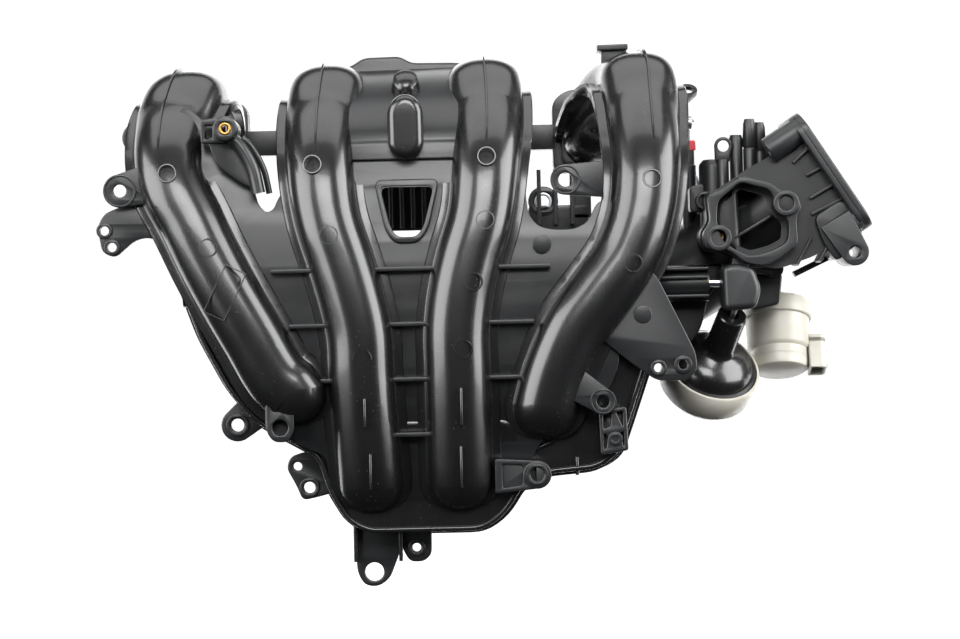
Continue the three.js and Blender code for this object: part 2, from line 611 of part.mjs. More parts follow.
function coil(radius, wire, bottom, top, turns, stepsPerTurn) {
  class Helix extends THREE.Curve {
    getPoint(t, target = new THREE.Vector3()) {
      const angle = t * turns * Math.PI * 2;
      return target.set(radius * Math.cos(angle), bottom + t * (top - bottom), radius * Math.sin(angle));
    }
  }
  const section = new THREE.Shape();
  section.absarc(0, 0, wire, 0, Math.PI * 2);
  return solid(new THREE.ExtrudeGeometry(section, {
    steps: turns * stepsPerTurn, extrudePath: new Helix(), curveSegments: 2,
  }));
}
piece("dome_spring", coil(13, 0.8, -19.5, 3.8, 4, 12), steel, dome);

// The cover over the crank at the end of the tuning shaft.
const crankCover = cut(
  slab([[221, -99], [244, -99], [248, -104], [247, -128], [240, -132], [222, -130]], -140, -103, 4),
  [block(223, 243, -137, -90, -140, -102), block(200, 230, -137, -90, -140, -102)]);
piece("crank_cover", crankCover, ductNylon);

// ---------------------------------------------------------------- second actuator
// A cream canister with a position sensor that turns the swirl shaft through a bent rod.
const canister = turnedGroup(CANISTER_CENTRE, CANISTER_AXIS);
piece("canister_lid", turned([
  [4, 8.3], [23.3, 8.3], [23.3, -2], [24.5, -2], [24.5, 10], [20, 13], [4, 12], [4, 8.3],
], 28), cream, canister);
piece("canister_cup", turned([
  [0, -40], [20, -40], [22.8, -34], [23, 8], [20.5, 8], [20.5, -33], [18, -37], [0, -37],
], 28), cream, canister);
const shroud = cut(block(14, 32, -40, -18, -9, 9), [
  block(16, 30, -42, -22, -7, 7), turned([[0, -60], [23.3, -60], [23.3, 20], [0, 20]], 28),
]);
piece("sensor_connector", shroud, cream, canister);
[-3, 3].forEach((z, i) => {
  piece(`sensor_pin_${i + 1}`, block(26, 27.2, -36, -22.3, z - 1, z + 1), brass, canister);
});
const bentRod = new THREE.Group();
manifold.add(bentRod);
const rodFoot = CANISTER_CENTRE.clone().addScaledVector(CANISTER_AXIS, 3);
const rodPath = [
  rodFoot, CANISTER_CENTRE.clone().addScaledVector(CANISTER_AXIS, 26),
  spot(256, -28, -92), spot(236, -24, -68), spot(220, -24, -44), spot(212, -26, -22),
  spot(211, -24.6, 6),
];
piece("bent_rod", sweep(rodPath, disc(1.8), 14, 4), steel, bentRod);
const canisterPiston = turned([[0, -3], [7, -3], [17, -1], [19, 1], [7, 2.7], [0, 2.7]], 24);
piece("canister_piston", placed(canisterPiston, CANISTER_CENTRE, CANISTER_AXIS), rubber, bentRod);
piece("canister_spring", coil(12, 0.8, -35.5, -4.5, 5, 12), steel, canister);
const bracket = join([block(250, 276, -84, -60, -121, -92), pin(263, -106, 6, -89, -60)]);
const lidClearance = placed(
  turned([[0, -60], [25, -60], [25, 14], [0, 14]], 28), CANISTER_CENTRE, CANISTER_AXIS);
piece("canister_bracket", cut(bracket, [ductSocket, lidClearance]), blackNylon);

// ---------------------------------------------------------------- small fittings
const bossInsert = cut(pin(insertBoss.x, insertBoss.z, 4.2, -166, -150.3, 12),
  [pin(insertBoss.x, insertBoss.z, 2.6, -180, -140, 8)]);
piece("boss_insert", bossInsert, brass);
padBolts.forEach(([x, z], i) => {
  const insert = cut(pin(x, z, 4.2, PAD_FRONT - 3, -100.3, 12), [pin(x, z, 2.8, -160, -90, 8)]);
  piece(`pad_insert_${i + 1}`, insert, brass);
});
const capShell = cut(post(206, -76, 5.4, -15, -8, 12), [post(206, -76, 4.5, -20, -10, 12)]);
piece("valve_cap", capShell, redCap);

export default manifold;
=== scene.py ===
"""Moulded nylon intake manifold: welded shells, head flange, throttle duct and two actuators.

Sizes are in millimetres in the code and metres in the scene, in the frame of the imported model:
the origin is the centre of the head face, +Y out of that face, +Z up, +X to the throttle side.
"""
import math

import bmesh
import bpy
import numpy as np
from bpy.props import FloatProperty, FloatVectorProperty, PointerProperty
from mathutils import Matrix, Vector


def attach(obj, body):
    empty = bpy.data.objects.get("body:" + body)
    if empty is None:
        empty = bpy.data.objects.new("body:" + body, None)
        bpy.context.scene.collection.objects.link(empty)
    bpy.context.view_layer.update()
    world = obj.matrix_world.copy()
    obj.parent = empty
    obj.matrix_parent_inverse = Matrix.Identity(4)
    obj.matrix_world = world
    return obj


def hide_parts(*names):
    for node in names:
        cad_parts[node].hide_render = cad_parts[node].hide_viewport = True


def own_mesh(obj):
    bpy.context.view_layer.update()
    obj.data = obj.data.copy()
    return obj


bl_info = {
    "name": "Intake Manifold",
    "version": (1, 0, 0),
    "blender": (4, 5, 0),
    "location": "View3D > Sidebar > Manifold",
    "description": "Builds a moulded intake manifold piece by piece on its packed frame",
    "category": "Object",
}

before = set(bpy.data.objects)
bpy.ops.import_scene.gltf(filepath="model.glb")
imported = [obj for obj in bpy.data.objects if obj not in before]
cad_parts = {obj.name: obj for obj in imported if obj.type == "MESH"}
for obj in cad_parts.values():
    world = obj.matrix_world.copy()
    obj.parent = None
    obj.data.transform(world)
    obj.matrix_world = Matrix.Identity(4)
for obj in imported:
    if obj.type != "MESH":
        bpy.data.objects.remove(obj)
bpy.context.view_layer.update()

MM = 0.001
# The weld sheet's depth, and the back of the head flange.
SHEET_Y = -142.0
HEAD_BACK = -24.3
# How the front arches: depth lost for each squared mm above or below the height of its crown.
BOW = 0.0007
BOW_HEIGHT = -135.0
# How far the crests stand above the shared side profile, and how much more for each mm to the
# right.
CREST_LIFT = 5.5
CREST_SLANT = 0.02
# The ports' places along X, and the tuning shaft's (Y, Z).
PORTS = [-144.0, -48.0, 48.0, 144.0]
TUNING_AXIS = (-112.0, -110.0)
THROTTLE_CENTRE = Vector((299.0, -92.0, -36.0))
THROTTLE_NORMAL = Vector((0.84, 0.0, 0.54)).normalized()
DOME_CENTRE = Vector((218.0, -76.0, -172.0))
DOME_AXIS = Vector((0.24, -0.68, 0.69)).normalized()
CANISTER_CENTRE = Vector((270.0, -40.0, -136.0))
CANISTER_AXIS = Vector((0.0, 0.34, 0.94)).normalized()


# ------------------------------------------------------------------ settings
class ManifoldShape(bpy.types.PropertyGroup):
    """Sizes of the moulded shells"""

    slim_half: FloatProperty(
        name="Runner half width", description="Half the width of a runner down its front",
        default=0.0222, min=0.015, max=0.03, unit="LENGTH")
    crest_half: FloatProperty(
        name="Crest half width", description="Half the width of a runner over its crest",
        default=0.0268, min=0.015, max=0.035, unit="LENGTH")
    front_depth: FloatProperty(
        name="Front depth", description="How far a runner stands out of the weld sheet",
        default=0.0245, min=0.01, max=0.04, unit="LENGTH")
    wall: FloatProperty(
        name="Wall", description="Wall thickness of the moulded shells",
        default=0.003, min=0.001, max=0.006, unit="LENGTH")
    edge: FloatProperty(
        name="Edge radius", description="Radius on the edges of moulded plates and ribs",
        default=0.0007, min=0.0001, max=0.003, unit="LENGTH")


class ManifoldFinish(bpy.types.PropertyGroup):
    """Colours and gloss of the mouldings"""

    nylon: FloatVectorProperty(
        name="Nylon", description="Colour of the black glass-filled nylon, linear",
        default=(0.0045, 0.0046, 0.005), size=3, min=0, max=1, subtype="COLOR")
    cream: FloatVectorProperty(
        name="Cream", description="Colour of the undyed actuator plastic, linear",
        default=(0.50, 0.485, 0.44), size=3, min=0, max=1, subtype="COLOR")
    gloss: FloatProperty(
        name="Gloss roughness", description="Roughness of the polished shell skin",
        default=0.24, min=0.02, max=1.0, subtype="FACTOR")


class ManifoldStage(bpy.types.PropertyGroup):
    """Camera and light"""

    lens: FloatProperty(
        name="Lens", description="Focal length on a 36 mm wide sensor, in millimetres",
        default=111.9, min=20, max=300)
    distance: FloatProperty(
        name="Distance", description="Camera distance in front of the head face",
        default=2.2, min=0.5, max=10, unit="LENGTH")
    side_power: FloatProperty(
        name="Side light", description="Power of each side softbox",
        default=75.0, min=0, max=1000, unit="POWER")
    front_power: FloatProperty(
        name="Front light", description="Power of the high front softbox",
        default=62.0, min=0, max=1000, unit="POWER")


def shape():
    return bpy.context.scene.manifold_shape


def mm(value):
    """A length setting in millimetres."""
    return value / MM


# ------------------------------------------------------------------ materials
def colour(code):
    """Linear RGBA of an sRGB hex value."""
    parts = [int(code[i:i + 2], 16) / 255 for i in (0, 2, 4)]
    linear = [p / 12.92 if p <= 0.04045 else ((p + 0.055) / 1.055) ** 2.4 for p in parts]
    return (*linear, 1.0)


def add_node(tree, kind, settings=None, links=None):
    """A node with its settings; a setting names an input or a property, a link names an input."""
    node = tree.nodes.new(kind)
    for key, value in (settings or {}).items():
        if isinstance(key, int) or key in node.inputs:
            node.inputs[key].default_value = value
        else:
            setattr(node, key, value)
    for key, socket in (links or {}).items():
        tree.links.new(socket, node.inputs[key])
    return node


def new_material(name):
    material = bpy.data.materials.new(name)
    material.use_nodes = True
    tree = material.node_tree
    shader = tree.nodes["Principled BSDF"]
    place = add_node(tree, "ShaderNodeTexCoord").outputs["Object"]
    return material, tree, shader, place


def roughness_range(tree, shader, source, low, high):
    spread = add_node(tree, "ShaderNodeMapRange", {"To Min": low, "To Max": high}, {"Value": source})
    tree.links.new(spread.outputs["Result"], shader.inputs["Roughness"])


def surface_relief(tree, shader, source, depth_mm, strength):
    relief = add_node(tree, "ShaderNodeBump", {"Strength": strength, "Distance": depth_mm * MM},
                      {"Height": source})
    tree.links.new(relief.outputs["Normal"], shader.inputs["Normal"])


def nylon_polished():
    """PA66-GF35 from a polished mould: deep black, glossy, with faint flow streaks and dust."""
    material, tree, shader, place = new_material("moulded_pa66_gf_polished")
    look = bpy.context.scene.manifold_finish
    # flow marks of the glass fibre, long along the runner, about 25 mm apart
    stretch = add_node(tree, "ShaderNodeMapping", {"Scale": (40, 40, 12)}, {"Vector": place})
    flow = add_node(tree, "ShaderNodeTexNoise", {"Scale": 1.0, "Detail": 4.0, "Roughness": 0.6},
                    {"Vector": stretch.outputs["Vector"]})
    roughness_range(tree, shader, flow.outputs["Fac"], look.gloss - 0.03, look.gloss + 0.09)
    # dust motes about 0.6 mm across, a few in each square centimetre
    motes = add_node(tree, "ShaderNodeTexVoronoi", {"Scale": 260.0}, {"Vector": place})
    patch = add_node(tree, "ShaderNodeTexNoise", {"Scale": 30.0, "Detail": 3.0}, {"Vector": place})
    small = add_node(tree, "ShaderNodeMath", {"operation": "LESS_THAN", 1: 0.13},
                     {0: motes.outputs["Distance"]})
    chosen = add_node(tree, "ShaderNodeMath", {"operation": "GREATER_THAN", 1: 0.56},
                      {0: patch.outputs["Fac"]})
    dust = add_node(tree, "ShaderNodeMath", {"operation": "MULTIPLY"},
                    {0: small.outputs[0], 1: chosen.outputs[0]})
    mix = add_node(tree, "ShaderNodeMix", {"data_type": "RGBA", "A": (*look.nylon, 1),
                                           "B": colour("4a4a4a")})
    share = add_node(tree, "ShaderNodeMath", {"operation": "MULTIPLY", 1: 0.35}, {0: dust.outputs[0]})
    tree.links.new(share.outputs[0], mix.inputs["Factor"])
    tree.links.new(mix.outputs["Result"], shader.inputs["Base Color"])
    # orange peel of the mould, waves of about 3 mm
    peel = add_node(tree, "ShaderNodeTexNoise", {"Scale": 330.0, "Detail": 2.0}, {"Vector": place})
    surface_relief(tree, shader, peel.outputs["Fac"], 0.05, 0.12)
    shader.inputs["IOR"].default_value = 1.53
    shader.inputs["Coat Weight"].default_value = 0.25
    shader.inputs["Coat Roughness"].default_value = 0.08
    return material


def nylon_textured(name, base, low, high, grain_mm, depth):
    """PA66-GF from an eroded mould: a fine satin grain that spreads the light to a grey sheen."""
    material, tree, shader, place = new_material(name)
    cloud = add_node(tree, "ShaderNodeTexNoise", {"Scale": 35.0, "Detail": 5.0, "Roughness": 0.65},
                     {"Vector": place})
    roughness_range(tree, shader, cloud.outputs["Fac"], low, high)
    tone = add_node(tree, "ShaderNodeMix", {"data_type": "RGBA", "A": colour(base),
                                            "B": colour("191a1c")},
                    {"Factor": cloud.outputs["Fac"]})
    tree.links.new(tone.outputs["Result"], shader.inputs["Base Color"])
    grain = add_node(tree, "ShaderNodeTexNoise", {"Scale": 1000 / grain_mm, "Detail": 3.0,
                                                  "Roughness": 0.7}, {"Vector": place})
    surface_relief(tree, shader, grain.outputs["Fac"], depth, 0.35)
    shader.inputs["IOR"].default_value = 1.53
    return material


def cream_polyamide():
    """Undyed polyamide: warm off-white, satin, a little light under the skin, faint sink marks."""
    material, tree, shader, place = new_material("moulded_pa_natural")
    look = bpy.context.scene.manifold_finish
    cloud = add_node(tree, "ShaderNodeTexNoise", {"Scale": 45.0, "Detail": 4.0}, {"Vector": place})
    tone = add_node(tree, "ShaderNodeMix", {"data_type": "RGBA", "A": (*look.cream, 1),
                                            "B": colour("8e8a7c")},
                    {"Factor": cloud.outputs["Fac"]})
    tree.links.new(tone.outputs["Result"], shader.inputs["Base Color"])
    roughness_range(tree, shader, cloud.outputs["Fac"], 0.32, 0.5)
    grain = add_node(tree, "ShaderNodeTexNoise", {"Scale": 900.0, "Detail": 2.0}, {"Vector": place})
    surface_relief(tree, shader, grain.outputs["Fac"], 0.05, 0.2)
    shader.inputs["Subsurface Weight"].default_value = 0.12
    shader.inputs["Subsurface Radius"].default_value = (0.003, 0.0025, 0.002)
    shader.inputs["IOR"].default_value = 1.53
    return material


def metal(name, base, low, high, lines_mm, axis_scale):
    """Turned or drawn metal: fine lines from the tool, a little uneven shine."""
    material, tree, shader, place = new_material(name)
    stretch = add_node(tree, "ShaderNodeMapping", {"Scale": axis_scale}, {"Vector": place})
    lines = add_node(tree, "ShaderNodeTexNoise", {"Scale": 1000 / lines_mm, "Detail": 2.0},
                     {"Vector": stretch.outputs["Vector"]})
    roughness_range(tree, shader, lines.outputs["Fac"], low, high)
    surface_relief(tree, shader, lines.outputs["Fac"], 0.03, 0.3)
    shader.inputs["Base Color"].default_value = colour(base)
    shader.inputs["Metallic"].default_value = 1.0
    return material


def sealing_rubber():
    """Moulded fluoro rubber: dark grey, matt, with a light bloom."""
    material, tree, shader, place = new_material("moulded_fkm_rubber")
    bloom = add_node(tree, "ShaderNodeTexNoise", {"Scale": 160.0, "Detail": 5.0}, {"Vector": place})
    tone = add_node(tree, "ShaderNodeMix", {"data_type": "RGBA", "A": colour("1a1b1c"),
                                            "B": colour("333436")},
                    {"Factor": bloom.outputs["Fac"]})
    tree.links.new(tone.outputs["Result"], shader.inputs["Base Color"])
    roughness_range(tree, shader, bloom.outputs["Fac"], 0.6, 0.85)
    surface_relief(tree, shader, bloom.outputs["Fac"], 0.05, 0.3)
    return material


def red_polyethylene():
    """Soft moulded cap: saturated red, satin, slightly clouded."""
    material, tree, shader, place = new_material("moulded_pe_red")
    cloud = add_node(tree, "ShaderNodeTexNoise", {"Scale": 200.0, "Detail": 3.0}, {"Vector": place})
    tone = add_node(tree, "ShaderNodeMix", {"data_type": "RGBA", "A": colour("b3202a"),
                                            "B": colour("8e161f")},
                    {"Factor": cloud.outputs["Fac"]})
    tree.links.new(tone.outputs["Result"], shader.inputs["Base Color"])
    roughness_range(tree, shader, cloud.outputs["Fac"], 0.35, 0.5)
    return material


FINISHES = {}


def finish(name):
    """A finish by its short name, made once."""
    makers = {
        "polished": nylon_polished,
        "textured": lambda: nylon_textured("moulded_pa66_gf_textured", "0b0c0d", 0.27, 0.42, 0.7, 0.06),
        "duct": lambda: nylon_textured("moulded_pa66_gf_spark_eroded", "0e0f10", 0.33, 0.5, 0.6, 0.09),
        "cream": cream_polyamide,
        "brass": lambda: metal("turned_brass", "c79a55", 0.22, 0.4, 0.4, (1, 14, 1)),
        "steel": lambda: metal("drawn_zinc_plated_steel", "b4b7ba", 0.25, 0.42, 0.5, (1, 1, 8)),
        "aluminium": lambda: metal("stamped_aluminium", "c3c5c8", 0.3, 0.45, 0.6, (12, 1, 1)),
        "rubber": sealing_rubber,
        "red": red_polyethylene,
    }
    if name not in FINISHES:
        FINISHES[name] = makers[name]()
    return FINISHES[name]


# ------------------------------------------------------------------ outlines and paths
def rounded(points, radius, steps=4):
    """A closed outline with its corners rounded."""
    corners = [Vector(p) for p in points]
    result = []
    for i, corner in enumerate(corners):
        before = corners[i - 1] - corner
        after = corners[(i + 1) % len(corners)] - corner
        reach = min(radius, before.length * 0.45, after.length * 0.45)
        start = corner + before.normalized() * reach
        end = corner + after.normalized() * reach
        for k in range(steps + 1):
            t = k / steps
            result.append(start * (1 - t) ** 2 + corner * 2 * t * (1 - t) + end * t ** 2)
    return [(p.x, p.y) for p in result]


def circle(x, z, radius, sides=28):
    turns = [2 * math.pi * k / sides for k in range(sides)]
    return [(x + radius * math.cos(a), z + radius * math.sin(a)) for a in turns]


def lug_outline(x, z, anchor, radius, widen=1.2):
    """A strap from an anchor that ends in a half circle round a hole."""
    along = (Vector(anchor) - Vector((x, z))).normalized()
    side = Vector((-along.y, along.x))
    arc = []
    start = math.atan2(side.y, side.x)
    for k in range(15):
        angle = start + math.pi * k / 14
        arc.append((x + radius * math.cos(angle), z + radius * math.sin(angle)))
    foot = Vector(anchor)
    arc.append(tuple(foot - side * radius * widen))
    arc.append(tuple(foot + side * radius * widen))
    return arc


def inset(points, distance):
    """An outline moved in by a distance, or out by a negative one."""
    area = sum(a[0] * b[1] - b[0] * a[1] for a, b in zip(points, points[1:] + points[:1]))
    turn = math.copysign(1, area)
    moved = []
    for i, point in enumerate(points):
        into = (Vector(point) - Vector(points[i - 1])).normalized()
        out = (Vector(points[(i + 1) % len(points)]) - Vector(point)).normalized()
        normal = Vector((-into.y - out.y, into.x + out.x)).normalized()
        slant = max(0.5, normal.x * -into.y + normal.y * into.x)
        moved.append(tuple(Vector(point) + normal * (turn * distance / slant)))
    return moved


def smooth_path(stations, steps):
    """Stations on a rounded path through given ones; every value of a station is smoothed."""
    rows = [np.array(s, float) for s in stations]
    rows = [2 * rows[0] - rows[1], *rows, 2 * rows[-1] - rows[-2]]

    def gap(a, b):
        return max(float(np.linalg.norm(b[:3] - a[:3])), 1e-6) ** 0.5

    def between(a, b, t):
        return a * (1 - t) + b * t

    path = []
    for a, b, c, d in zip(rows, rows[1:], rows[2:], rows[3:]):
        t1 = gap(a, b)
        t2 = t1 + gap(b, c)
        t3 = t2 + gap(c, d)
        for k in range(steps):
            t = t1 + (t2 - t1) * k / steps
            ab = between(a, b, t / t1)
            bc = between(b, c, (t - t1) / (t2 - t1))
            cd = between(c, d, (t - t2) / (t3 - t2))
            abc = between(ab, bc, t / t2)
            bcd = between(bc, cd, (t - t1) / (t3 - t1))
            path.append(between(abc, bcd, (t - t1) / (t2 - t1)))
    path.append(rows[-2])
    return path


def frames(path):
    """Centre, side and outward direction at each station of a path."""
    result = []
    for i, station in enumerate(path):
        ahead = path[min(i + 1, len(path) - 1)][:3]
        behind = path[max(i - 1, 0)][:3]
        along = Vector(ahead - behind).normalized()
        side = Vector((1, 0, 0)) - along * along.x
        side.normalize()
        result.append((Vector(station[:3]), side, along.cross(side)))
    return result


# ------------------------------------------------------------------ mesh makers
def loft(bm, rings, closed_path=False):
    """Quads between rings of points, with a cap at each end."""
    rows = [[bm.verts.new(p) for p in ring] for ring in rings]
    pairs = list(zip(rows, rows[1:]))
    if closed_path:
        pairs.append((rows[-1], rows[0]))
    for low, high in pairs:
        count = len(low)
        for i in range(count):
            bm.faces.new((low[i], low[(i + 1) % count], high[(i + 1) % count], high[i]))
    if not closed_path:
        bm.faces.new(rows[0][::-1])
        bm.faces.new(rows[-1])


def prism(bm, points, front, back):
    """An outline in XZ given depth along Y."""
    loft(bm, [[(x, back, z) for x, z in points], [(x, front, z) for x, z in points]])


def box(bm, x0, x1, y0, y1, z0, z1):
    prism(bm, [(x0, z0), (x1, z0), (x1, z1), (x0, z1)], y0, y1)


def along_axis(origin, axis):
    """The matrix that puts local +Y along an axis."""
    return Matrix.Translation(origin) @ Vector((0, 1, 0)).rotation_difference(axis).to_matrix().to_4x4()


def turned(bm, profile, matrix=None, sides=56):
    """A solid of revolution about local Y from a closed profile of radius and height."""
    matrix = matrix or Matrix()
    rings = []
    for k in range(sides):
        angle = 2 * math.pi * k / sides
        rings.append([matrix @ Vector((r * math.cos(angle), h, r * math.sin(angle))) for r, h in profile])
    loft(bm, rings, closed_path=True)


def pipe(bm, path, outer, inner, sides=40):
    """A tube along a path, open at both ends."""
    rings = []
    for centre, side, out in frames(path):
        ring = []
        for k in range(sides):
            angle = 2 * math.pi * k / sides
            ring.append(side * math.cos(angle) + out * math.sin(angle))
        rings.append((centre, ring))
    skin = [[centre + d * outer for d in ring] for centre, ring in rings]
    bore = [[centre + d * inner for d in ring] for centre, ring in rings]
    rows = [[bm.verts.new(p) for p in ring] for ring in skin + bore[::-1]]
    for low, high in zip(rows, rows[1:] + rows[:1]):
        for i in range(sides):
            bm.faces.new((low[i], low[(i + 1) % sides], high[(i + 1) % sides], high[i]))


def rod(bm, path, radius, sides=16):
    rings = []
    for centre, side, out in frames(path):
        turns = [2 * math.pi * k / sides for k in range(sides)]
        rings.append([centre + (side * math.cos(a) + out * math.sin(a)) * radius for a in turns])
    loft(bm, rings)


def plate(bm, outline, front, back, holes=(), edge=None, matrix=None, steps=2):
    """A plate in XZ with rounded edges and holes, cut from a filled curve."""
    edge = mm(shape().edge) if edge is None else edge
    curve = bpy.data.curves.new("plate_outline", "CURVE")
    curve.dimensions = "2D"
    curve.fill_mode = "BOTH"
    curve.extrude = max((back - front) / 2 - edge, 0.01)
    curve.bevel_depth = edge
    curve.bevel_resolution = steps
    curve.offset = -edge
    for loop in [outline, *holes]:
        spline = curve.splines.new("POLY")
        spline.points.add(len(loop) - 1)
        for point, (x, z) in zip(spline.points, loop):
            point.co = (x, z, 0, 1)
        spline.use_cyclic_u = True
    holder = bpy.data.objects.new("plate_outline", curve)
    mesh = bpy.data.meshes.new_from_object(holder)
    turn = Matrix.Translation((0, (front + back) / 2, 0)) @ Matrix.Rotation(math.pi / 2, 4, "X")
    mesh.transform(matrix @ turn if matrix else turn)
    bm.from_mesh(mesh)
    bpy.data.objects.remove(holder)
    bpy.data.curves.remove(curve)
    bpy.data.meshes.remove(mesh)


def bow(bm):
    """Arches everything near the weld sheet: furthest out at one height, back above and below."""
    levels = [20 - 14 * k for k in range(21)]
    for level in levels:
        geometry = bm.verts[:] + bm.edges[:] + bm.faces[:]
        bmesh.ops.bisect_plane(bm, geom=geometry, plane_co=(0, 0, level), plane_no=(0, 0, 1))
    for vert in bm.verts:
        _, y, z = vert.co
        share = min(max((-y - 100) / 36, 0), 1)
        vert.co.y = y + BOW * (z - BOW_HEIGHT) ** 2 * share


def frozen(holder):
    """The plain mesh of an object with its modifiers applied; the object is removed."""
    bpy.context.view_layer.update()
    graph = bpy.context.evaluated_depsgraph_get()
    result = bpy.data.meshes.new_from_object(holder.evaluated_get(graph))
    source = holder.data
    bpy.data.objects.remove(holder)
    bpy.data.meshes.remove(source)
    return result


def softened(bm, width, segments=2, angle=40, arched=False):
    """The mesh of a shape with its sharp edges rounded."""
    if arched:
        bow(bm)
    bmesh.ops.remove_doubles(bm, verts=bm.verts, dist=1e-4)
    bmesh.ops.recalc_face_normals(bm, faces=bm.faces)
    mesh = bpy.data.meshes.new("softened")
    bm.to_mesh(mesh)
    bm.free()
    if width <= 0:
        return mesh
    holder = bpy.data.objects.new("softened", mesh)
    bpy.context.scene.collection.objects.link(holder)
    rounding = holder.modifiers.new("edges", "BEVEL")
    rounding.width = width
    rounding.segments = segments
    rounding.limit_method = "ANGLE"
    rounding.angle_limit = math.radians(angle)
    rounding.use_clamp_overlap = True
    rounding.harden_normals = False
    return frozen(holder)


def pierced(mesh, tool):
    """A closed mesh with a second one cut out of it."""
    body = bpy.data.objects.new("pierced", mesh)
    cutter = bpy.data.objects.new("cutter", tool)
    for holder in (body, cutter):
        bpy.context.scene.collection.objects.link(holder)
    hole = body.modifiers.new("hole", "BOOLEAN")
    hole.operation = "DIFFERENCE"
    hole.solver = "EXACT"
    hole.object = cutter
    result = frozen(body)
    bpy.data.objects.remove(cutter)
    bpy.data.meshes.remove(tool)
    return result


def lift_crests(bm):
    """Stretches the crests upwards, more on the right, and leaves the head end and the rest alone."""
    def eased(value):
        share = min(max(value, 0), 1)
        return share * share * (3 - 2 * share)

    for vert in bm.verts:
        x, y, z = vert.co
        vert.co.z = z + (CREST_LIFT + CREST_SLANT * x) * eased(z / 40) * eased((-y - 30) / 25)


def assemble(name, layers, body, nodes=(), sharp=38, crests=False):
    """One piece from layers of (mesh, finish name), put on a body in place of its CAD nodes."""
    joined = bmesh.new()
    names = []
    for mesh, look in layers:
        if look not in names:
            names.append(look)
        first = len(joined.faces)
        joined.from_mesh(mesh)
        joined.faces.ensure_lookup_table()
        for face in joined.faces[first:]:
            face.material_index = names.index(look)
        bpy.data.meshes.remove(mesh)
    if crests:
        lift_crests(joined)
    bmesh.ops.scale(joined, vec=(MM, MM, MM), verts=joined.verts)
    mesh = bpy.data.meshes.new(name)
    joined.to_mesh(mesh)
    joined.free()
    for look in names:
        mesh.materials.append(finish(look))
    mesh.shade_smooth()
    mesh.set_sharp_from_angle(angle=math.radians(sharp))
    piece = bpy.data.objects.new(name, mesh)
    bpy.context.scene.collection.objects.link(piece)
    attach(piece, body)
    if nodes:
        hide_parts(*nodes)
    return piece


# ------------------------------------------------------------------ runners
# Side profile shared by the runners, as (depth, height): from the head over the crest and down.
SIDE_PROFILE = [
    (HEAD_BACK, 0), (-36, 2), (-52, 13), (-76, 22), (-104, 17), (-129, -3),
    (-140, -30), (SHEET_Y, -60), (SHEET_Y, -90), (SHEET_Y, -115), (SHEET_Y, -140), (SHEET_Y, -170),
]
# Sideways place of each runner at each station, then its foot (sideways, lowest height).
RUNNERS = [
    ([-144, -144, -144, -146, -152, -158, -157, -143, -129, -116, -102, -85], (-74, -202)),
    ([-48, -48, -48, -48, -50, -53, -53, -49, -40, -33, -28, -27], (-23, -265)),
    ([48, 48, 52, 60, 62, 63, 61, 57, 48, 42, 39, 39], (39, -265)),
    ([144, 144, 152, 166, 171, 172, 172, 168, 157, 139, 120, 106], (99, -216)),
]
# How much of the extra crest width a runner keeps at each station.
FLARE = [0.6, 0.7, 0.9, 1.0, 0.95, 0.6, 0.2, 0, 0, 0, 0, 0]


def runner_stations(index):
    """(x, y, z, half width, front depth) down one runner, with a round foot."""
    s = shape()
    xs, (foot_x, foot_z) = RUNNERS[index]
    slim = mm(s.slim_half)
    crest = mm(s.crest_half)
    depth = mm(s.front_depth)
    stations = []
    for x, (y, z), flare in zip(xs, SIDE_PROFILE, FLARE):
        stations.append((x, y, z, slim + (crest - slim) * flare, depth))
    stations.append((foot_x, SHEET_Y, foot_z + slim * 1.02, slim, depth))
    path = smooth_path(stations, 7)
    tail = path[-1]
    for k in range(1, 8):
        angle = math.radians(90 * k / 7.4)
        shrink = math.cos(angle)
        path.append(np.array([tail[0], tail[1], tail[2] - slim * math.sin(angle),
                              slim * shrink, 2.4 + (depth - 2.4) * shrink]))
    return path


def arc_points(half, depth, base, power=2.3, count=30):
    """A flattened half oval from +half to -half that stands on the height base."""
    points = []
    for k in range(count + 1):
        angle = math.pi * k / count
        across = math.copysign(abs(math.cos(angle)) ** (2 / power), math.cos(angle))
        points.append((half * across, base + (depth - base) * math.sin(angle) ** (2 / power)))
    return points


def half_tube(bm, path, facing, lip, wall, start=0):
    """Half a runner: a shell with a welding lip down both sides. Facing is 1 out, -1 in."""
    rings = []
    for (centre, side, out), station in list(zip(frames(path), path))[start:]:
        half, depth = station[3], station[4] if facing > 0 else 24.0
        reach = half + lip
        edge = [(reach, 0.15), (reach, 2.5), (reach - 0.7, 3.2), (half + 1.4, 3.2), (half + 0.3, 3.6)]
        skin = arc_points(half, depth, 4.2)
        inner = arc_points(max(half - wall, 0.3), max(depth - wall, 0.4), 0.15)[::-1]
        ring = edge + skin + [(-s, n) for s, n in edge[::-1]] + inner
        rings.append([centre + side * s + out * (n * facing) for s, n in ring])
    loft(bm, rings)


def crest_fin(bm, path, offset, first, last):
    """The thin parting fin over a runner's crest, fading out at both ends."""
    chosen = list(zip(frames(path), path))[first:last]
    rings = []
    for k, ((centre, side, out), station) in enumerate(chosen):
        height = station[4] - 0.8 + 3.0 * math.sin(math.pi * (k + 0.3) / (len(chosen) - 0.4)) ** 0.35
        ring = [(-1.5, station[4] - 2.5), (1.5, station[4] - 2.5), (0.5, height), (-0.5, height)]
        rings.append([centre + side * (s + offset) + out * n for s, n in ring])
    loft(bm, rings)


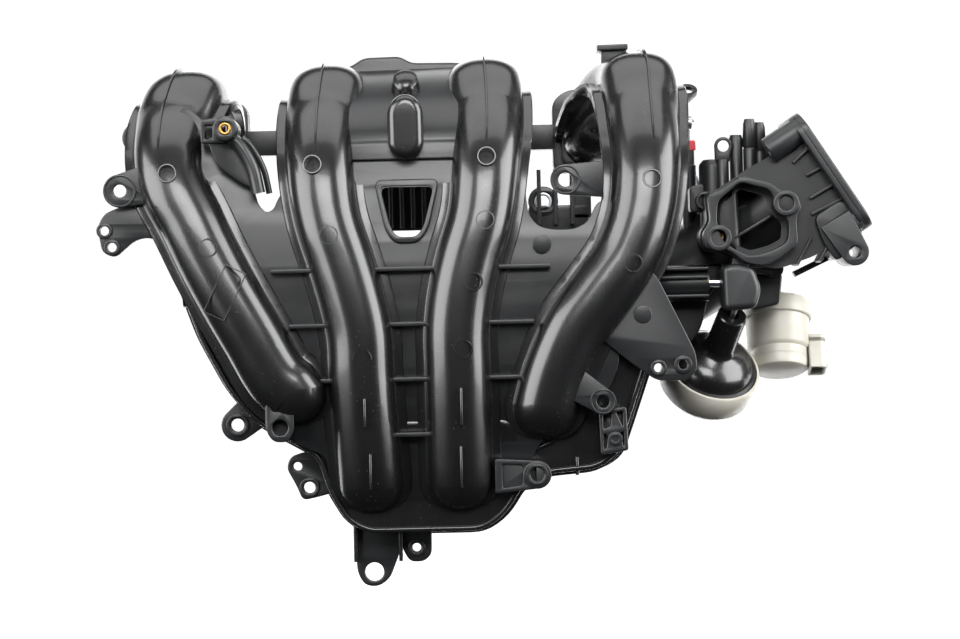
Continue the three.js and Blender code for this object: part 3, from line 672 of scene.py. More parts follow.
PLENUM = [
    (-158, -84), (-151, -108), (-139, -142), (-120, -178), (-102, -200), (-78, -214), (-60, -224),
    (-52, -250), (-40, -270), (-26, -278), (54, -278), (70, -267), (82, -248), (98, -240), (134, -237),
    (148, -228), (156, -206), (170, -166), (178, -122), (176, -84), (60, -88), (-40, -88),
]
FRONT_SHEET = [
    (-146, 20), (-127, 4), (-108, -14), (-104, -22), (-96, -50), (-91, -55), (-86, -53), (-82, -44),
    (-60, -20), (-30, -14), (36, -14), (64, -20), (88, -40), (90, -60), (96, -68), (106, -71),
    (122, -71), (131, -66), (138, -52), (156, -50), (176, -90), (178, -104), (170, -132),
    (150, -140), (150, -166), (143, -182), (130, -196), (112, -208), (98, -214), (90, -226), (86, -236),
    (80, -246), (70, -262), (54, -271), (-24, -271), (-36, -264), (-46, -250), (-54, -224), (-76, -214),
    (-98, -196), (-116, -172), (-134, -138), (-150, -100), (-172, -50), (-176, -10),
]

# The window in the web between runners 2 and 3.
WINDOW = rounded([(-12, -39), (25, -39), (18, -66), (13, -74), (-1, -74), (-6, -66)], 5)


class MANIFOLD_OT_front_shell(bpy.types.Operator):
    """Outer halves of the runners, their webs, bowl, lugs and bosses"""

    bl_idname = "manifold.front_shell"
    bl_label = "Front shell"

    def execute(self, context):
        wall = mm(shape().wall)
        tubes = bmesh.new()
        for index in range(4):
            path = runner_stations(index)
            half_tube(tubes, path, 1, 6.5, wall)
            offset = (-5, -2, 0, 5)[index]
            crest_fin(tubes, path, offset, 15, 40)
        layers = [(softened(tubes, 0, arched=True), "polished")]

        fins = bmesh.new()
        for x, low, high in ((-22, -247, -222), (40, -247, -218), (-25, -204, -184), (41, -204, -178)):
            box(fins, x - 0.9, x + 0.9, -168.6 if high > -190 else -163.5, -140, low, high)
        layers.append((softened(fins, 0.8, 3), "polished"))

        sheet = bmesh.new()
        plate(sheet, rounded(FRONT_SHEET, 5), -144.4, -142.2, holes=[WINDOW], edge=0.5)
        rim = rounded([(-16, -34), (29, -34), (21, -68), (14, -78), (-3, -78), (-9, -68)], 6)
        plate(sheet, rim, -147.5, -143, holes=[WINDOW], edge=0.8)
        layers.append((softened(sheet, 0, arched=True), "textured"))

        bowl = bmesh.new()
        low_bowl = [(-60, -206), (-55, -240), (-46, -262), (-30, -277), (54, -277), (72, -265),
                    (84, -246), (92, -226), (80, -196), (-40, -196)]
        hinge = Matrix.Translation((0, -142, -205))
        lean = hinge @ Matrix.Rotation(math.radians(3), 4, "X") @ hinge.inverted()
        plate(bowl, rounded(low_bowl, 16, 8), -145, -122, edge=9, steps=8, matrix=lean)
        layers.append((softened(bowl, 0, arched=True), "polished"))

        curtain = bmesh.new()
        sweep = smooth_path([(7, -138.5, -20), (7, -137.5, -12), (7, -133, 2), (7, -120, 17),
                             (7, -102, 29), (7, -82, 38), (7, -58, 44), (7, -25, 45)], 6)
        rings = []
        for centre, side, out in frames(sweep):
            half = 62 if centre.z > -8 else 58
            profile = [(-half, 0.2), (half, 0.2), (half, 2.8), (-half, 2.8)]
            rings.append([centre + side * s + out * n for s, n in profile])
        loft(curtain, rings)
        layers.append((softened(curtain, 0.4), "textured"))
        brow = bmesh.new()
        ridge = rounded([(-50, 30), (-50, 44), (-34, 46), (-24, 52), (2, 52), (10, 47), (40, 46),
                         (64, 43), (64, 30)], 4)
        plate(brow, ridge, -66, -52, edge=2, steps=4)
        layers.append((softened(brow, 0), "textured"))

        bosses = bmesh.new()
        capsule = [(x, z - 8) for x, z in circle(6.5, 0, 12.3, 40)]
        capsule = [(x, z + (17 if z > -8 else 0)) for x, z in capsule]
        plate(bosses, capsule, -149, -104, edge=5.5, steps=6)
        turned(bosses, [(0, -26), (12.5, -26), (9.5, -2), (8.4, 1.6), (5, 3.6), (0, 4)],
               along_axis(Vector((6.5, -112, 31)), Vector((0, -0.8, 0.6))))
        layers.append((softened(bosses, 0), "polished"))
        layers.append((self.lugs(), "textured"))
        layers.append((self.sockets(), "textured"))
        layers.append((self.pads(), "polished"))
        assemble("front_shell_moulding", layers, "manifold", ["front_shell"], crests=True)
        return {"FINISHED"}

    def lugs(self):
        """Flat ears with a hole, on the edge of the weld sheet."""
        bm = bmesh.new()
        ears = [
            (-191, -38, (-168, -33), 11.5, 4.4, -146, -142),
            (116, -37, (142, -37), 10.5, 4.9, -146, -142),
            (138, -190, (120, -178), 9, 4.2, -158, -144),
        ]
        for x, z, anchor, radius, hole, front, back in ears:
            plate(bm, lug_outline(x, z, anchor, radius), front, back, holes=[circle(x, z, hole)])
            plate(bm, circle(x, z, radius, 40), front - 0.7, back - 1,
                  holes=[circle(x, z, radius - 1.6, 40)], edge=0.3)
        gusset = rounded([(172, -100), (178, -106), (203, -158), (204, -170), (197, -177), (176, -177),
                          (158, -164), (136, -146), (150, -128)], 5)
        gusset_holes = [circle(177, -168, 3), circle(194, -166, 3.4)]
        plate(bm, gusset, -147, -143, holes=gusset_holes)
        for x, z, radius in ((177, -168, 5.6), (194, -166, 6.2)):
            plate(bm, circle(x, z, radius, 32), -149, -143, holes=[circle(x, z, 3.2)], edge=0.5)
        plate(bm, circle(167, -131, 6.3, 36), -147.6, -144, edge=0.4)
        plate(bm, circle(99, -81, 6.3, 36), -145, -143, edge=0.3)
        plate(bm, circle(92, -239.5, 9.8, 44), -150, -138, holes=[circle(92, -239.5, 4.6)])
        plate(bm, circle(92, -239.5, 7.6, 44), -150.8, -146, holes=[circle(92, -239.5, 5.6)], edge=0.3)
        strap = rounded([(92, -229.8), (63, -228), (63, -252), (92, -249.2)], 2)
        tray = rounded([(82, -232.5), (68, -231.5), (68, -248.5), (82, -246.5)], 2)
        plate(bm, strap, -147.5, -142)
        plate(bm, strap, -149.5, -146, holes=[tray, circle(92, -239.5, 8)], edge=0.5)
        stall = rounded([(-93, -172), (-74, -172), (-74, -206), (-78, -213), (-88, -213), (-93, -206)], 4)
        slot = rounded([(-89.5, -175), (-78, -175), (-78, -192), (-89.5, -192)], 3)
        plate(bm, stall, -158, -134, holes=[slot, circle(-83.5, -203, 5.4)], edge=0.8)
        plate(bm, stall, -148, -134)
        block = rounded([(142, 48), (142, 52), (164, 52), (164, 48)], 1.2)
        plate(bm, block, -88, -62)
        tab = rounded([(145, 36), (145, 49), (163, 49), (163, 36)], 1)
        plate(bm, tab, -84, -64)
        return softened(bm, 0)

    def sockets(self):
        """The insert boss with its leaning column, the socket ribs and the lattice block."""
        bm = bmesh.new()
        plate(bm, circle(-116, 2, 8.2, 40), -166.5, -130, holes=[circle(-116, 2, 4.3)], edge=0.8)
        plate(bm, rounded([(-134, 9), (-117, 11), (-117, -7), (-134, -7)], 2), -150, -138,
              holes=[rounded([(-131, 5.5), (-126, 5.5), (-126, -4), (-131, -4)], 1)], edge=0.6)
        column = [(-113, -4), (-108, -8), (-99, -24), (-95, -42)]
        for shift, radius in ((0, 4.6), (7, 2.2)):
            line = [(x + shift, -150 + 0.25 * i * shift, z) for i, (x, z) in enumerate(column)]
            rod(bm, smooth_path(line, 6), radius)
        plate(bm, rounded([(-131, -2), (-108, -4), (-96, -40), (-108, -34), (-124, -22)], 4), -146, -140)
        for x, top in ((-92, -168), (-76, -162)):
            plate(bm, rounded([(x - 1.6, top), (x + 1.6, top), (x + 1.6, -203), (x - 1.6, -203)], 1),
                  -156, -143, edge=0.6)
        lattice = rounded([(135, -196), (154, -194), (155, -224), (136, -227)], 2)
        openings = [rounded(points, 1.2) for points in (
            [(138, -199), (144, -198), (143, -207), (138, -209)],
            [(147, -198), (151.5, -197), (151.5, -208)],
            [(138, -212), (141, -214), (140, -222), (138, -223)],
            [(149, -212), (152, -211), (152, -222)])]
        plate(bm, lattice, -152, -140, holes=openings)
        plate(bm, lattice, -146, -138)
        plate(bm, circle(146, -216, 5, 32), -153, -141, holes=[circle(146, -216, 2.2)], edge=0.4)
        return softened(bm, 0)

    def pads(self):
        """Ejector marks and the plain label pad on the runners' faces."""
        bm = bmesh.new()
        marks = [(-157, -27), (-129.5, -79), (-57.5, -23), (-47, -72), (-26, -157), (62, -20), (60, -64),
                 (51, -106), (43, -152), (175, -38), (160.5, -96)]
        front = SHEET_Y - mm(shape().front_depth)
        for x, z in marks:
            turned(bm, [(5.3, 0.6), (5.7, -0.32), (6.3, -0.32), (6.7, 0.6)],
                   along_axis(Vector((x, front, z)), Vector((0, 1, 0))), 36)
        slope = (Matrix.Translation((-118.5, front + 0.2, -110))
                 @ Matrix.Rotation(math.radians(26), 4, "Y"))
        border = rounded([(-8, -18), (8, -18), (8, 18), (-8, 18)], 1)
        plate(bm, border, -0.2, 1.2, holes=[inset(border, 0.8)], edge=0.2, matrix=slope)
        return softened(bm, 0, arched=True)


# ------------------------------------------------------------------ grown parts
def growth(name, sockets):
    """An empty Geometry Nodes tree with named inputs, and its input node."""
    tree = bpy.data.node_groups.new(name, "GeometryNodeTree")
    for label, kind, value in [("Geometry", "NodeSocketGeometry", None), *sockets]:
        socket = tree.interface.new_socket(label, in_out="INPUT", socket_type=kind)
        if value is not None:
            socket.default_value = value
    tree.interface.new_socket("Geometry", in_out="OUTPUT", socket_type="NodeSocketGeometry")
    return tree, add_node(tree, "NodeGroupInput").outputs


def close_tree(tree, geometry, material):
    """Ends a tree: instances made real, one finish, the output."""
    real = add_node(tree, "GeometryNodeRealizeInstances", {}, {"Geometry": geometry})
    painted = add_node(tree, "GeometryNodeSetMaterial", {},
                       {"Geometry": real.outputs["Geometry"], "Material": material})
    add_node(tree, "NodeGroupOutput", {}, {"Geometry": painted.outputs["Geometry"]})


def grown(tree, mesh, values):
    """The mesh a tree makes from a starting mesh with these inputs."""
    holder = bpy.data.objects.new("grown", mesh)
    bpy.context.scene.collection.objects.link(holder)
    growing = holder.modifiers.new("growth", "NODES")
    growing.node_group = tree
    for item in tree.interface.items_tree:
        if item.in_out == "INPUT" and item.name in values:
            growing[item.identifier] = values[item.name]
    holder.update_tag()
    return frozen(holder)


def ring_tree():
    """Sleeves: a square-edged wall swept round a circle at every point, with a rounded mouth."""
    tree, given = growth("sleeves_at_points", [
        ("Mean radius", "NodeSocketFloat", 5.0), ("Wall", "NodeSocketFloat", 2.0),
        ("Length", "NodeSocketFloat", 20.0), ("Turn", "NodeSocketRotation", None),
        ("Finish", "NodeSocketMaterial", None)])
    circle_line = add_node(tree, "GeometryNodeCurvePrimitiveCircle", {"Resolution": 40},
                           {"Radius": given["Mean radius"]})
    section = add_node(tree, "GeometryNodeCurvePrimitiveQuadrilateral", {},
                       {"Width": given["Wall"], "Height": given["Length"]})
    eased = add_node(tree, "GeometryNodeFilletCurve", {"Radius": 0.35, "mode": "POLY", "Count": 3},
                     {"Curve": section.outputs["Curve"]})
    wall = add_node(tree, "GeometryNodeCurveToMesh", {},
                    {"Curve": circle_line.outputs["Curve"], "Profile Curve": eased.outputs["Curve"]})
    rings = add_node(tree, "GeometryNodeInstanceOnPoints", {},
                     {"Points": given["Geometry"], "Instance": wall.outputs["Mesh"],
                      "Rotation": given["Turn"]})
    close_tree(tree, rings.outputs["Instances"], given["Finish"])
    return tree


def rib_tree():
    """Ribs: a rounded bar swept along every edge of the starting mesh, square to the sheet."""
    tree, given = growth("ribs_on_edges", [
        ("Thickness", "NodeSocketFloat", 3.0), ("Height", "NodeSocketFloat", 10.0),
        ("Finish", "NodeSocketMaterial", None)])
    lines = add_node(tree, "GeometryNodeMeshToCurve", {}, {"Mesh": given["Geometry"]})
    level = add_node(tree, "GeometryNodeSetCurveNormal", {"mode": "FREE", "Normal": (0, 1, 0)},
                     {"Curve": lines.outputs["Curve"]})
    section = add_node(tree, "GeometryNodeCurvePrimitiveQuadrilateral", {},
                       {"Width": given["Height"], "Height": given["Thickness"]})
    eased = add_node(tree, "GeometryNodeFilletCurve", {"Radius": 0.6, "mode": "POLY", "Count": 3},
                     {"Curve": section.outputs["Curve"]})
    bars = add_node(tree, "GeometryNodeCurveToMesh", {"Fill Caps": True},
                    {"Curve": level.outputs["Curve"], "Profile Curve": eased.outputs["Curve"]})
    close_tree(tree, bars.outputs["Mesh"], given["Finish"])
    return tree


def coil_tree():
    """Return spring: wire swept along a helix."""
    tree, given = growth("coil_spring", [
        ("Turns", "NodeSocketFloat", 5.0), ("Radius", "NodeSocketFloat", 12.0),
        ("Height", "NodeSocketFloat", 30.0), ("Wire radius", "NodeSocketFloat", 0.8),
        ("Finish", "NodeSocketMaterial", None)])
    helix = add_node(tree, "GeometryNodeCurveSpiral", {"Resolution": 28},
                     {"Rotations": given["Turns"], "Start Radius": given["Radius"],
                      "End Radius": given["Radius"], "Height": given["Height"]})
    wire = add_node(tree, "GeometryNodeCurvePrimitiveCircle", {"Resolution": 10},
                    {"Radius": given["Wire radius"]})
    spring = add_node(tree, "GeometryNodeCurveToMesh", {"Fill Caps": True},
                      {"Curve": helix.outputs["Curve"], "Profile Curve": wire.outputs["Curve"]})
    close_tree(tree, spring.outputs["Mesh"], given["Finish"])
    return tree


def points_mesh(points, edges=()):
    mesh = bpy.data.meshes.new("points")
    mesh.from_pydata([tuple(p) for p in points], list(edges), [])
    return mesh


def ribs(lines, thickness, height, look):
    """Bars along pairs of points, as one layer."""
    points = [p for line in lines for p in line]
    edges = [(2 * i, 2 * i + 1) for i in range(len(lines))]
    return grown(rib_tree(), points_mesh(points, edges),
                 {"Thickness": thickness, "Height": height, "Finish": finish(look)})


def sleeves(points, outer, inner, length, direction, look):
    """Rings centred on points with their axis along a direction."""
    turn = Vector((0, 0, 1)).rotation_difference(Vector(direction)).to_euler()
    return grown(ring_tree(), points_mesh(points),
                 {"Mean radius": (outer + inner) / 2, "Wall": outer - inner, "Length": length,
                  "Turn": turn, "Finish": finish(look)})


# ------------------------------------------------------------------ middle and rear shells
class MANIFOLD_OT_web_ribs(bpy.types.Operator):
    """Cross ribs between the runners, on the front of the weld sheet"""

    bl_idname = "manifold.web_ribs"
    bl_label = "Web ribs"

    def execute(self, context):
        lines = []
        for x0, x1, z in ((-88, -52, -96), (-76, -44, -134), (-62, -40, -172), (-20, 34, -96),
                          (-12, 26, -134), (-6, 22, -172), (-8, 22, -210), (66, 104, -96),
                          (60, 92, -134), (54, 84, -172)):
            lines.append(((x0, -147, z), (x1, -147, z)))
        layers = [(ribs(lines, 3.2, 9, "textured"), "textured")]
        assemble("web_ribs", layers, "manifold")
        return {"FINISHED"}


class MANIFOLD_OT_middle_shell(bpy.types.Operator):
    """Inner halves of the runners, the front of the plenum and the outer ears"""

    bl_idname = "manifold.middle_shell"
    bl_label = "Middle shell"

    def execute(self, context):
        wall = mm(shape().wall)
        tubes = bmesh.new()
        for index in range(4):
            half_tube(tubes, runner_stations(index), -1, 6.5, wall)
        windows = bmesh.new()
        for xs, _ in RUNNERS:
            middle = (xs[8] + xs[9]) / 2
            box(windows, middle - 15, middle + 15, -134, -96, -123, -97)
        layers = [(pierced(softened(tubes, 0, arched=True), softened(windows, 0)), "polished")]

        walls = bmesh.new()
        plenum = rounded(PLENUM, 9)
        back_sheet = bmesh.new()
        plate(back_sheet, rounded(FRONT_SHEET, 5), -141.8, -139.6, holes=[WINDOW], edge=0.5)
        layers.append((softened(back_sheet, 0, arched=True), "textured"))
        plate(walls, plenum, -133, -85.3, holes=[inset(plenum, 3)], edge=0.6)
        front_wall = bmesh.new()
        plate(front_wall, inset(plenum, 0.5), -134, -131, edge=1.2, steps=3)
        plate(front_wall, plenum, -136.5, -132, holes=[inset(plenum, 3.4)], edge=1.2, steps=3)
        arch = smooth_path([(82, -134, -226), (102, -134.6, -218), (121, -134.6, -206),
                            (136, -134, -190)], 8)
        rod(front_wall, arch, 1.5)
        rod(front_wall, smooth_path([(120, -134, -241), (120, -134.4, -236), (120, -134, -229)], 3), 1.3)
        layers.append((softened(front_wall, 0), "polished"))
        plate(walls, inset(plenum, -4.5), -89.5, -85.3, holes=[inset(plenum, 2.5)], edge=0.8)
        for x in PORTS:
            collar = rounded([(x - 27, -22), (x + 27, -22), (x + 27, 22), (x - 27, 22)], 8)
            mouth = rounded([(x - 20, -17), (x + 20, -17), (x + 20, 17), (x - 20, 17)], 6)
            plate(walls, collar, -33, HEAD_BACK, holes=[mouth])
        turned(walls, [(4, 0), (11.4, 0), (12, 0.7), (12, 20), (12.6, 22), (12.6, 50), (4, 50)],
               along_axis(Vector((165, *TUNING_AXIS)), Vector((1, 0, 0))))
        turned(walls, [(4, 0), (9, 0), (9, 19), (4, 19)],
               along_axis(Vector((-152, *TUNING_AXIS)), Vector((1, 0, 0))), 36)
        layers.append((softened(walls, 0), "textured"))
        layers.append((self.ears(), "textured"))
        guard = [((178, -124, z), (214, -124, z)) for z in (-100, -106, -119)]
        layers.append((ribs(guard, 2.4, 8, "textured"), "textured"))
        assemble("middle_shell_moulding", layers, "manifold", ["middle_shell"], crests=True)
        return {"FINISHED"}

    def ears(self):
        bm = bmesh.new()
        left = rounded([(-208, -62), (-203, -53), (-190, -48), (-170, -42), (-150, -60), (-150, -82),
                        (-172, -70), (-182, -72), (-196, -84), (-205, -80)], 5)
        plate(bm, left, -139, -131, holes=[circle(-203, -65, 3.2), circle(-198, -76.5, 3.2)])
        for x, z in ((-203, -65), (-198, -76.5)):
            plate(bm, circle(x, z, 5.6, 32), -140, -133, holes=[circle(x, z, 3.2)], edge=0.4)
        plate(bm, lug_outline(-116, -202, (-96, -186), 11.5), -114, -106, holes=[circle(-116, -202, 4.5)])
        plate(bm, circle(-116, -202, 8, 36), -115.2, -108, holes=[circle(-116, -202, 5.6)], edge=0.4)
        low_left = rounded([(-83, -233), (-80, -225), (-70, -222), (-54, -224), (-46, -250), (-62, -254),
                            (-72, -256), (-76, -246)], 4)
        plate(bm, low_left, -109, -101, holes=[circle(-75, -232, 3), circle(-67, -247, 4)])
        plate(bm, circle(-67, -247, 7, 36), -110.4, -104, holes=[circle(-67, -247, 4.8)], edge=0.4)
        tab = rounded([(-38, -266), (-2, -266), (-4, -292), (-12, -312), (-20, -318), (-30, -317),
                       (-35, -308), (-36, -290)], 6)
        plate(bm, tab, -104, -96, holes=[circle(-23, -307.5, 6.6)])
        for x0, x1 in ((-37, -34.4), (-5.4, -2.8)):
            plate(bm, [(x0, -300), (x1, -300), (x1, -268), (x0, -268)], -110, -98, edge=0.6)
        small = rounded([(-6, -266), (18, -266), (17.5, -296), (12, -301), (2, -301), (-3, -292)], 4)
        plate(bm, small, -104, -96, holes=[circle(7, -291, 3)])
        plate(bm, circle(7, -291, 6, 36), -106, -98, holes=[circle(7, -291, 4)], edge=0.4)
        apron = rounded([(190, -97), (226, -97), (226, -106), (216, -120), (211, -140), (204, -152),
                         (190, -146), (182, -120)], 4)
        plate(bm, apron, -100, -92, edge=1.5, steps=3)
        return softened(bm, 0)


class MANIFOLD_OT_rear_shell(bpy.types.Operator):
    """Ribbed tub that closes the plenum at the back"""

    bl_idname = "manifold.rear_shell"
    bl_label = "Rear shell"

    def execute(self, context):
        outline = rounded(PLENUM, 10, 4)
        centre = Vector((12, -175))

        def ring(depth, distance):
            share = 1 - distance / 112
            return [(centre.x + (x - centre.x) * share, depth, centre.y + (z - centre.y) * share)
                    for x, z in outline]

        levels = [
            (-29.2, 22), (-31, 17), (-36, 11), (-43, 6.5), (-52, 4), (-84.7, 3), (-84.7, -4.5),
            (-83.9, -5.2), (-81.5, -5.2), (-80.8, -4.5), (-80.4, 0), (-53, 0.6), (-43, 3), (-35, 8),
            (-29, 14.5), (-26.8, 19), (-26.2, 24),
        ]
        tub = bmesh.new()
        loft(tub, [ring(depth, distance) for depth, distance in levels])
        layers = [(softened(tub, 0), "polished")]
        lines = [((-62, -27, z), (84, -27, z)) for z in (-120, -145, -170, -195, -220)]
        lines += [((x, -27, -112), (x, -27, -232)) for x in (-40, -10, 20, 50)]
        layers.append((ribs(lines, 2.6, 5, "textured"), "textured"))
        collar = bmesh.new()
        duct = smooth_path(DUCT_PATH, 6)
        pipe(collar, duct[2:14], 37.5, 33.4)
        layers.append((softened(collar, 0.6), "textured"))
        assemble("rear_shell_moulding", layers, "manifold", ["rear_shell"])
        return {"FINISHED"}


# ------------------------------------------------------------------ head flange
HEAD_BOLTS = [(-192, 6), (-144, -34), (-48, -34), (0, 38), (48, -34), (103, -47), (189, 14)]


class MANIFOLD_OT_head_flange(bpy.types.Operator):
    """Four port blocks on a bolted bar, with seal grooves"""

    bl_idname = "manifold.head_flange"
    bl_label = "Head flange"

    def execute(self, context):
        bm = bmesh.new()
        for x in PORTS:
            block = rounded([(x - 33, -26), (x + 33, -26), (x + 33, 26), (x + 22, 34), (x - 22, 34),
                             (x - 33, 26)], 6)
            port = rounded([(x - 20, -19), (x + 20, -19), (x + 20, 19), (x - 20, 19)], 6)
            groove = rounded([(x - 27, -24), (x + 27, -24), (x + 27, 24), (x - 27, 24)], 9)
            land = rounded([(x - 23.5, -20.8), (x + 23.5, -20.8), (x + 23.5, 20.8), (x - 23.5, 20.8)], 7)
            plate(bm, block, -24, -3, holes=[port])
            plate(bm, block, -4, 0, holes=[groove], edge=0.3)
            plate(bm, land, -4, 0, holes=[port], edge=0.3)
        for x0, x1, z0, z1 in ((-190, -175, -9, 9), (-113, -79, -9, 9), (-17, 17, -9, 9),
                               (79, 113, -9, 9), (175, 189, -9, 12), (-60, 60, 24, 41)):
            plate(bm, [(x0, z0), (x1, z0), (x1, z1), (x0, z1)], -24, -4 if z1 > 40 else 0)
        for rail in ([(-30, -66), (30, -66), (30, -20), (-30, -20)],
                     [(92, -70), (136, -70), (136, -50), (92, -50)],
                     [(124, -60), (138, -60), (138, -20), (124, -20)]):
            plate(bm, rounded(rail, 3), -24, -8)
        for x, z in HEAD_BOLTS:
            plate(bm, circle(x, z, 11, 44), -24.2, 0, holes=[circle(x, z, 6.7)])
        tilt = Matrix.Translation((210, -20, 31)) @ Matrix.Rotation(math.radians(-50), 4, "X")
        plate(bm, lug_outline(0, 0, (-8, -12), 7.5, 0.9), -2, 2, holes=[circle(0, 0, 4.2)], matrix=tilt)
        plate(bm, rounded([(196, -6), (206, -6), (206, 28), (199, 30), (196, 24)], 2), -22, -12)
        layers = [(softened(bm, 0), "textured")]
        webs = [((x, -18, -64), (x, -18, -24)) for x in (-24, -16, -8, 0, 8, 16, 24, 100, 112, 124)]
        webs += [((x0, -12, z), (x1, -12, z)) for z in (-7, 7) for x0, x1 in ((-115, -77), (77, 115))]
        layers.append((ribs(webs, 3, 22, "textured"), "textured"))
        assemble("head_flange_moulding", layers, "manifold", ["head_flange"])
        return {"FINISHED"}


class MANIFOLD_OT_sleeves(bpy.types.Operator):
    """Steel bolt sleeves and brass screw inserts"""

    bl_idname = "manifold.sleeves"
    bl_label = "Sleeves and inserts"

    def execute(self, context):
        bolts = [(x, -12, z) for x, z in HEAD_BOLTS]
        assemble("head_sleeves", [(sleeves(bolts, 6.6, 4.2, 24, (0, 1, 0), "steel"), "steel")],
                 "manifold", [f"head_sleeve_{i + 1}" for i in range(7)])
        seats = [throttle_place() @ Vector((a, -0.6, b)) for a in (-36, 36) for b in (-36, 36)]
        assemble("throttle_inserts",
                 [(sleeves(seats, 4.2, 2.6, 12.8, THROTTLE_NORMAL, "brass"), "brass")],
                 "manifold", [f"throttle_insert_{i + 1}" for i in range(4)])
        screws = [(268, -120, -56), (221, -120, -79)]
        assemble("pad_inserts", [(sleeves(screws, 4.2, 2.8, 26, (0, 1, 0), "brass"), "brass")],
                 "manifold", ["pad_insert_1", "pad_insert_2"])
        assemble("boss_insert_ring",
                 [(sleeves([(-116, -158.2, 2)], 4.2, 2.6, 15.7, (0, 1, 0), "brass"), "brass")],
                 "manifold", ["boss_insert"])
        return {"FINISHED"}


# ------------------------------------------------------------------ throttle duct
DUCT_PATH = [
    (150, -62, -124), (166, -60, -120), (190, -60, -112), (220, -64, -94), (252, -78, -68),
    tuple(THROTTLE_CENTRE - THROTTLE_NORMAL * 12), tuple(THROTTLE_CENTRE + THROTTLE_NORMAL * 4),
]


PAD_POCKET = rounded([
    (221, -54), (237, -41), (245, -43.5), (256, -46.5), (259.5, -51), (260.5, -59), (268, -66),
    (270, -71), (269, -83), (258, -89), (243, -92.5), (231, -87), (223, -80), (220, -68),
], 4)


def throttle_place():
    """The frame of the throttle plate: local X up the plate, Y its normal, Z back to the head."""
    n = THROTTLE_NORMAL
    axes = Matrix(((-n.z, n.x, 0), (0, 0, 1), (n.x, n.z, 0))).to_4x4()
    return Matrix.Translation(THROTTLE_CENTRE) @ axes


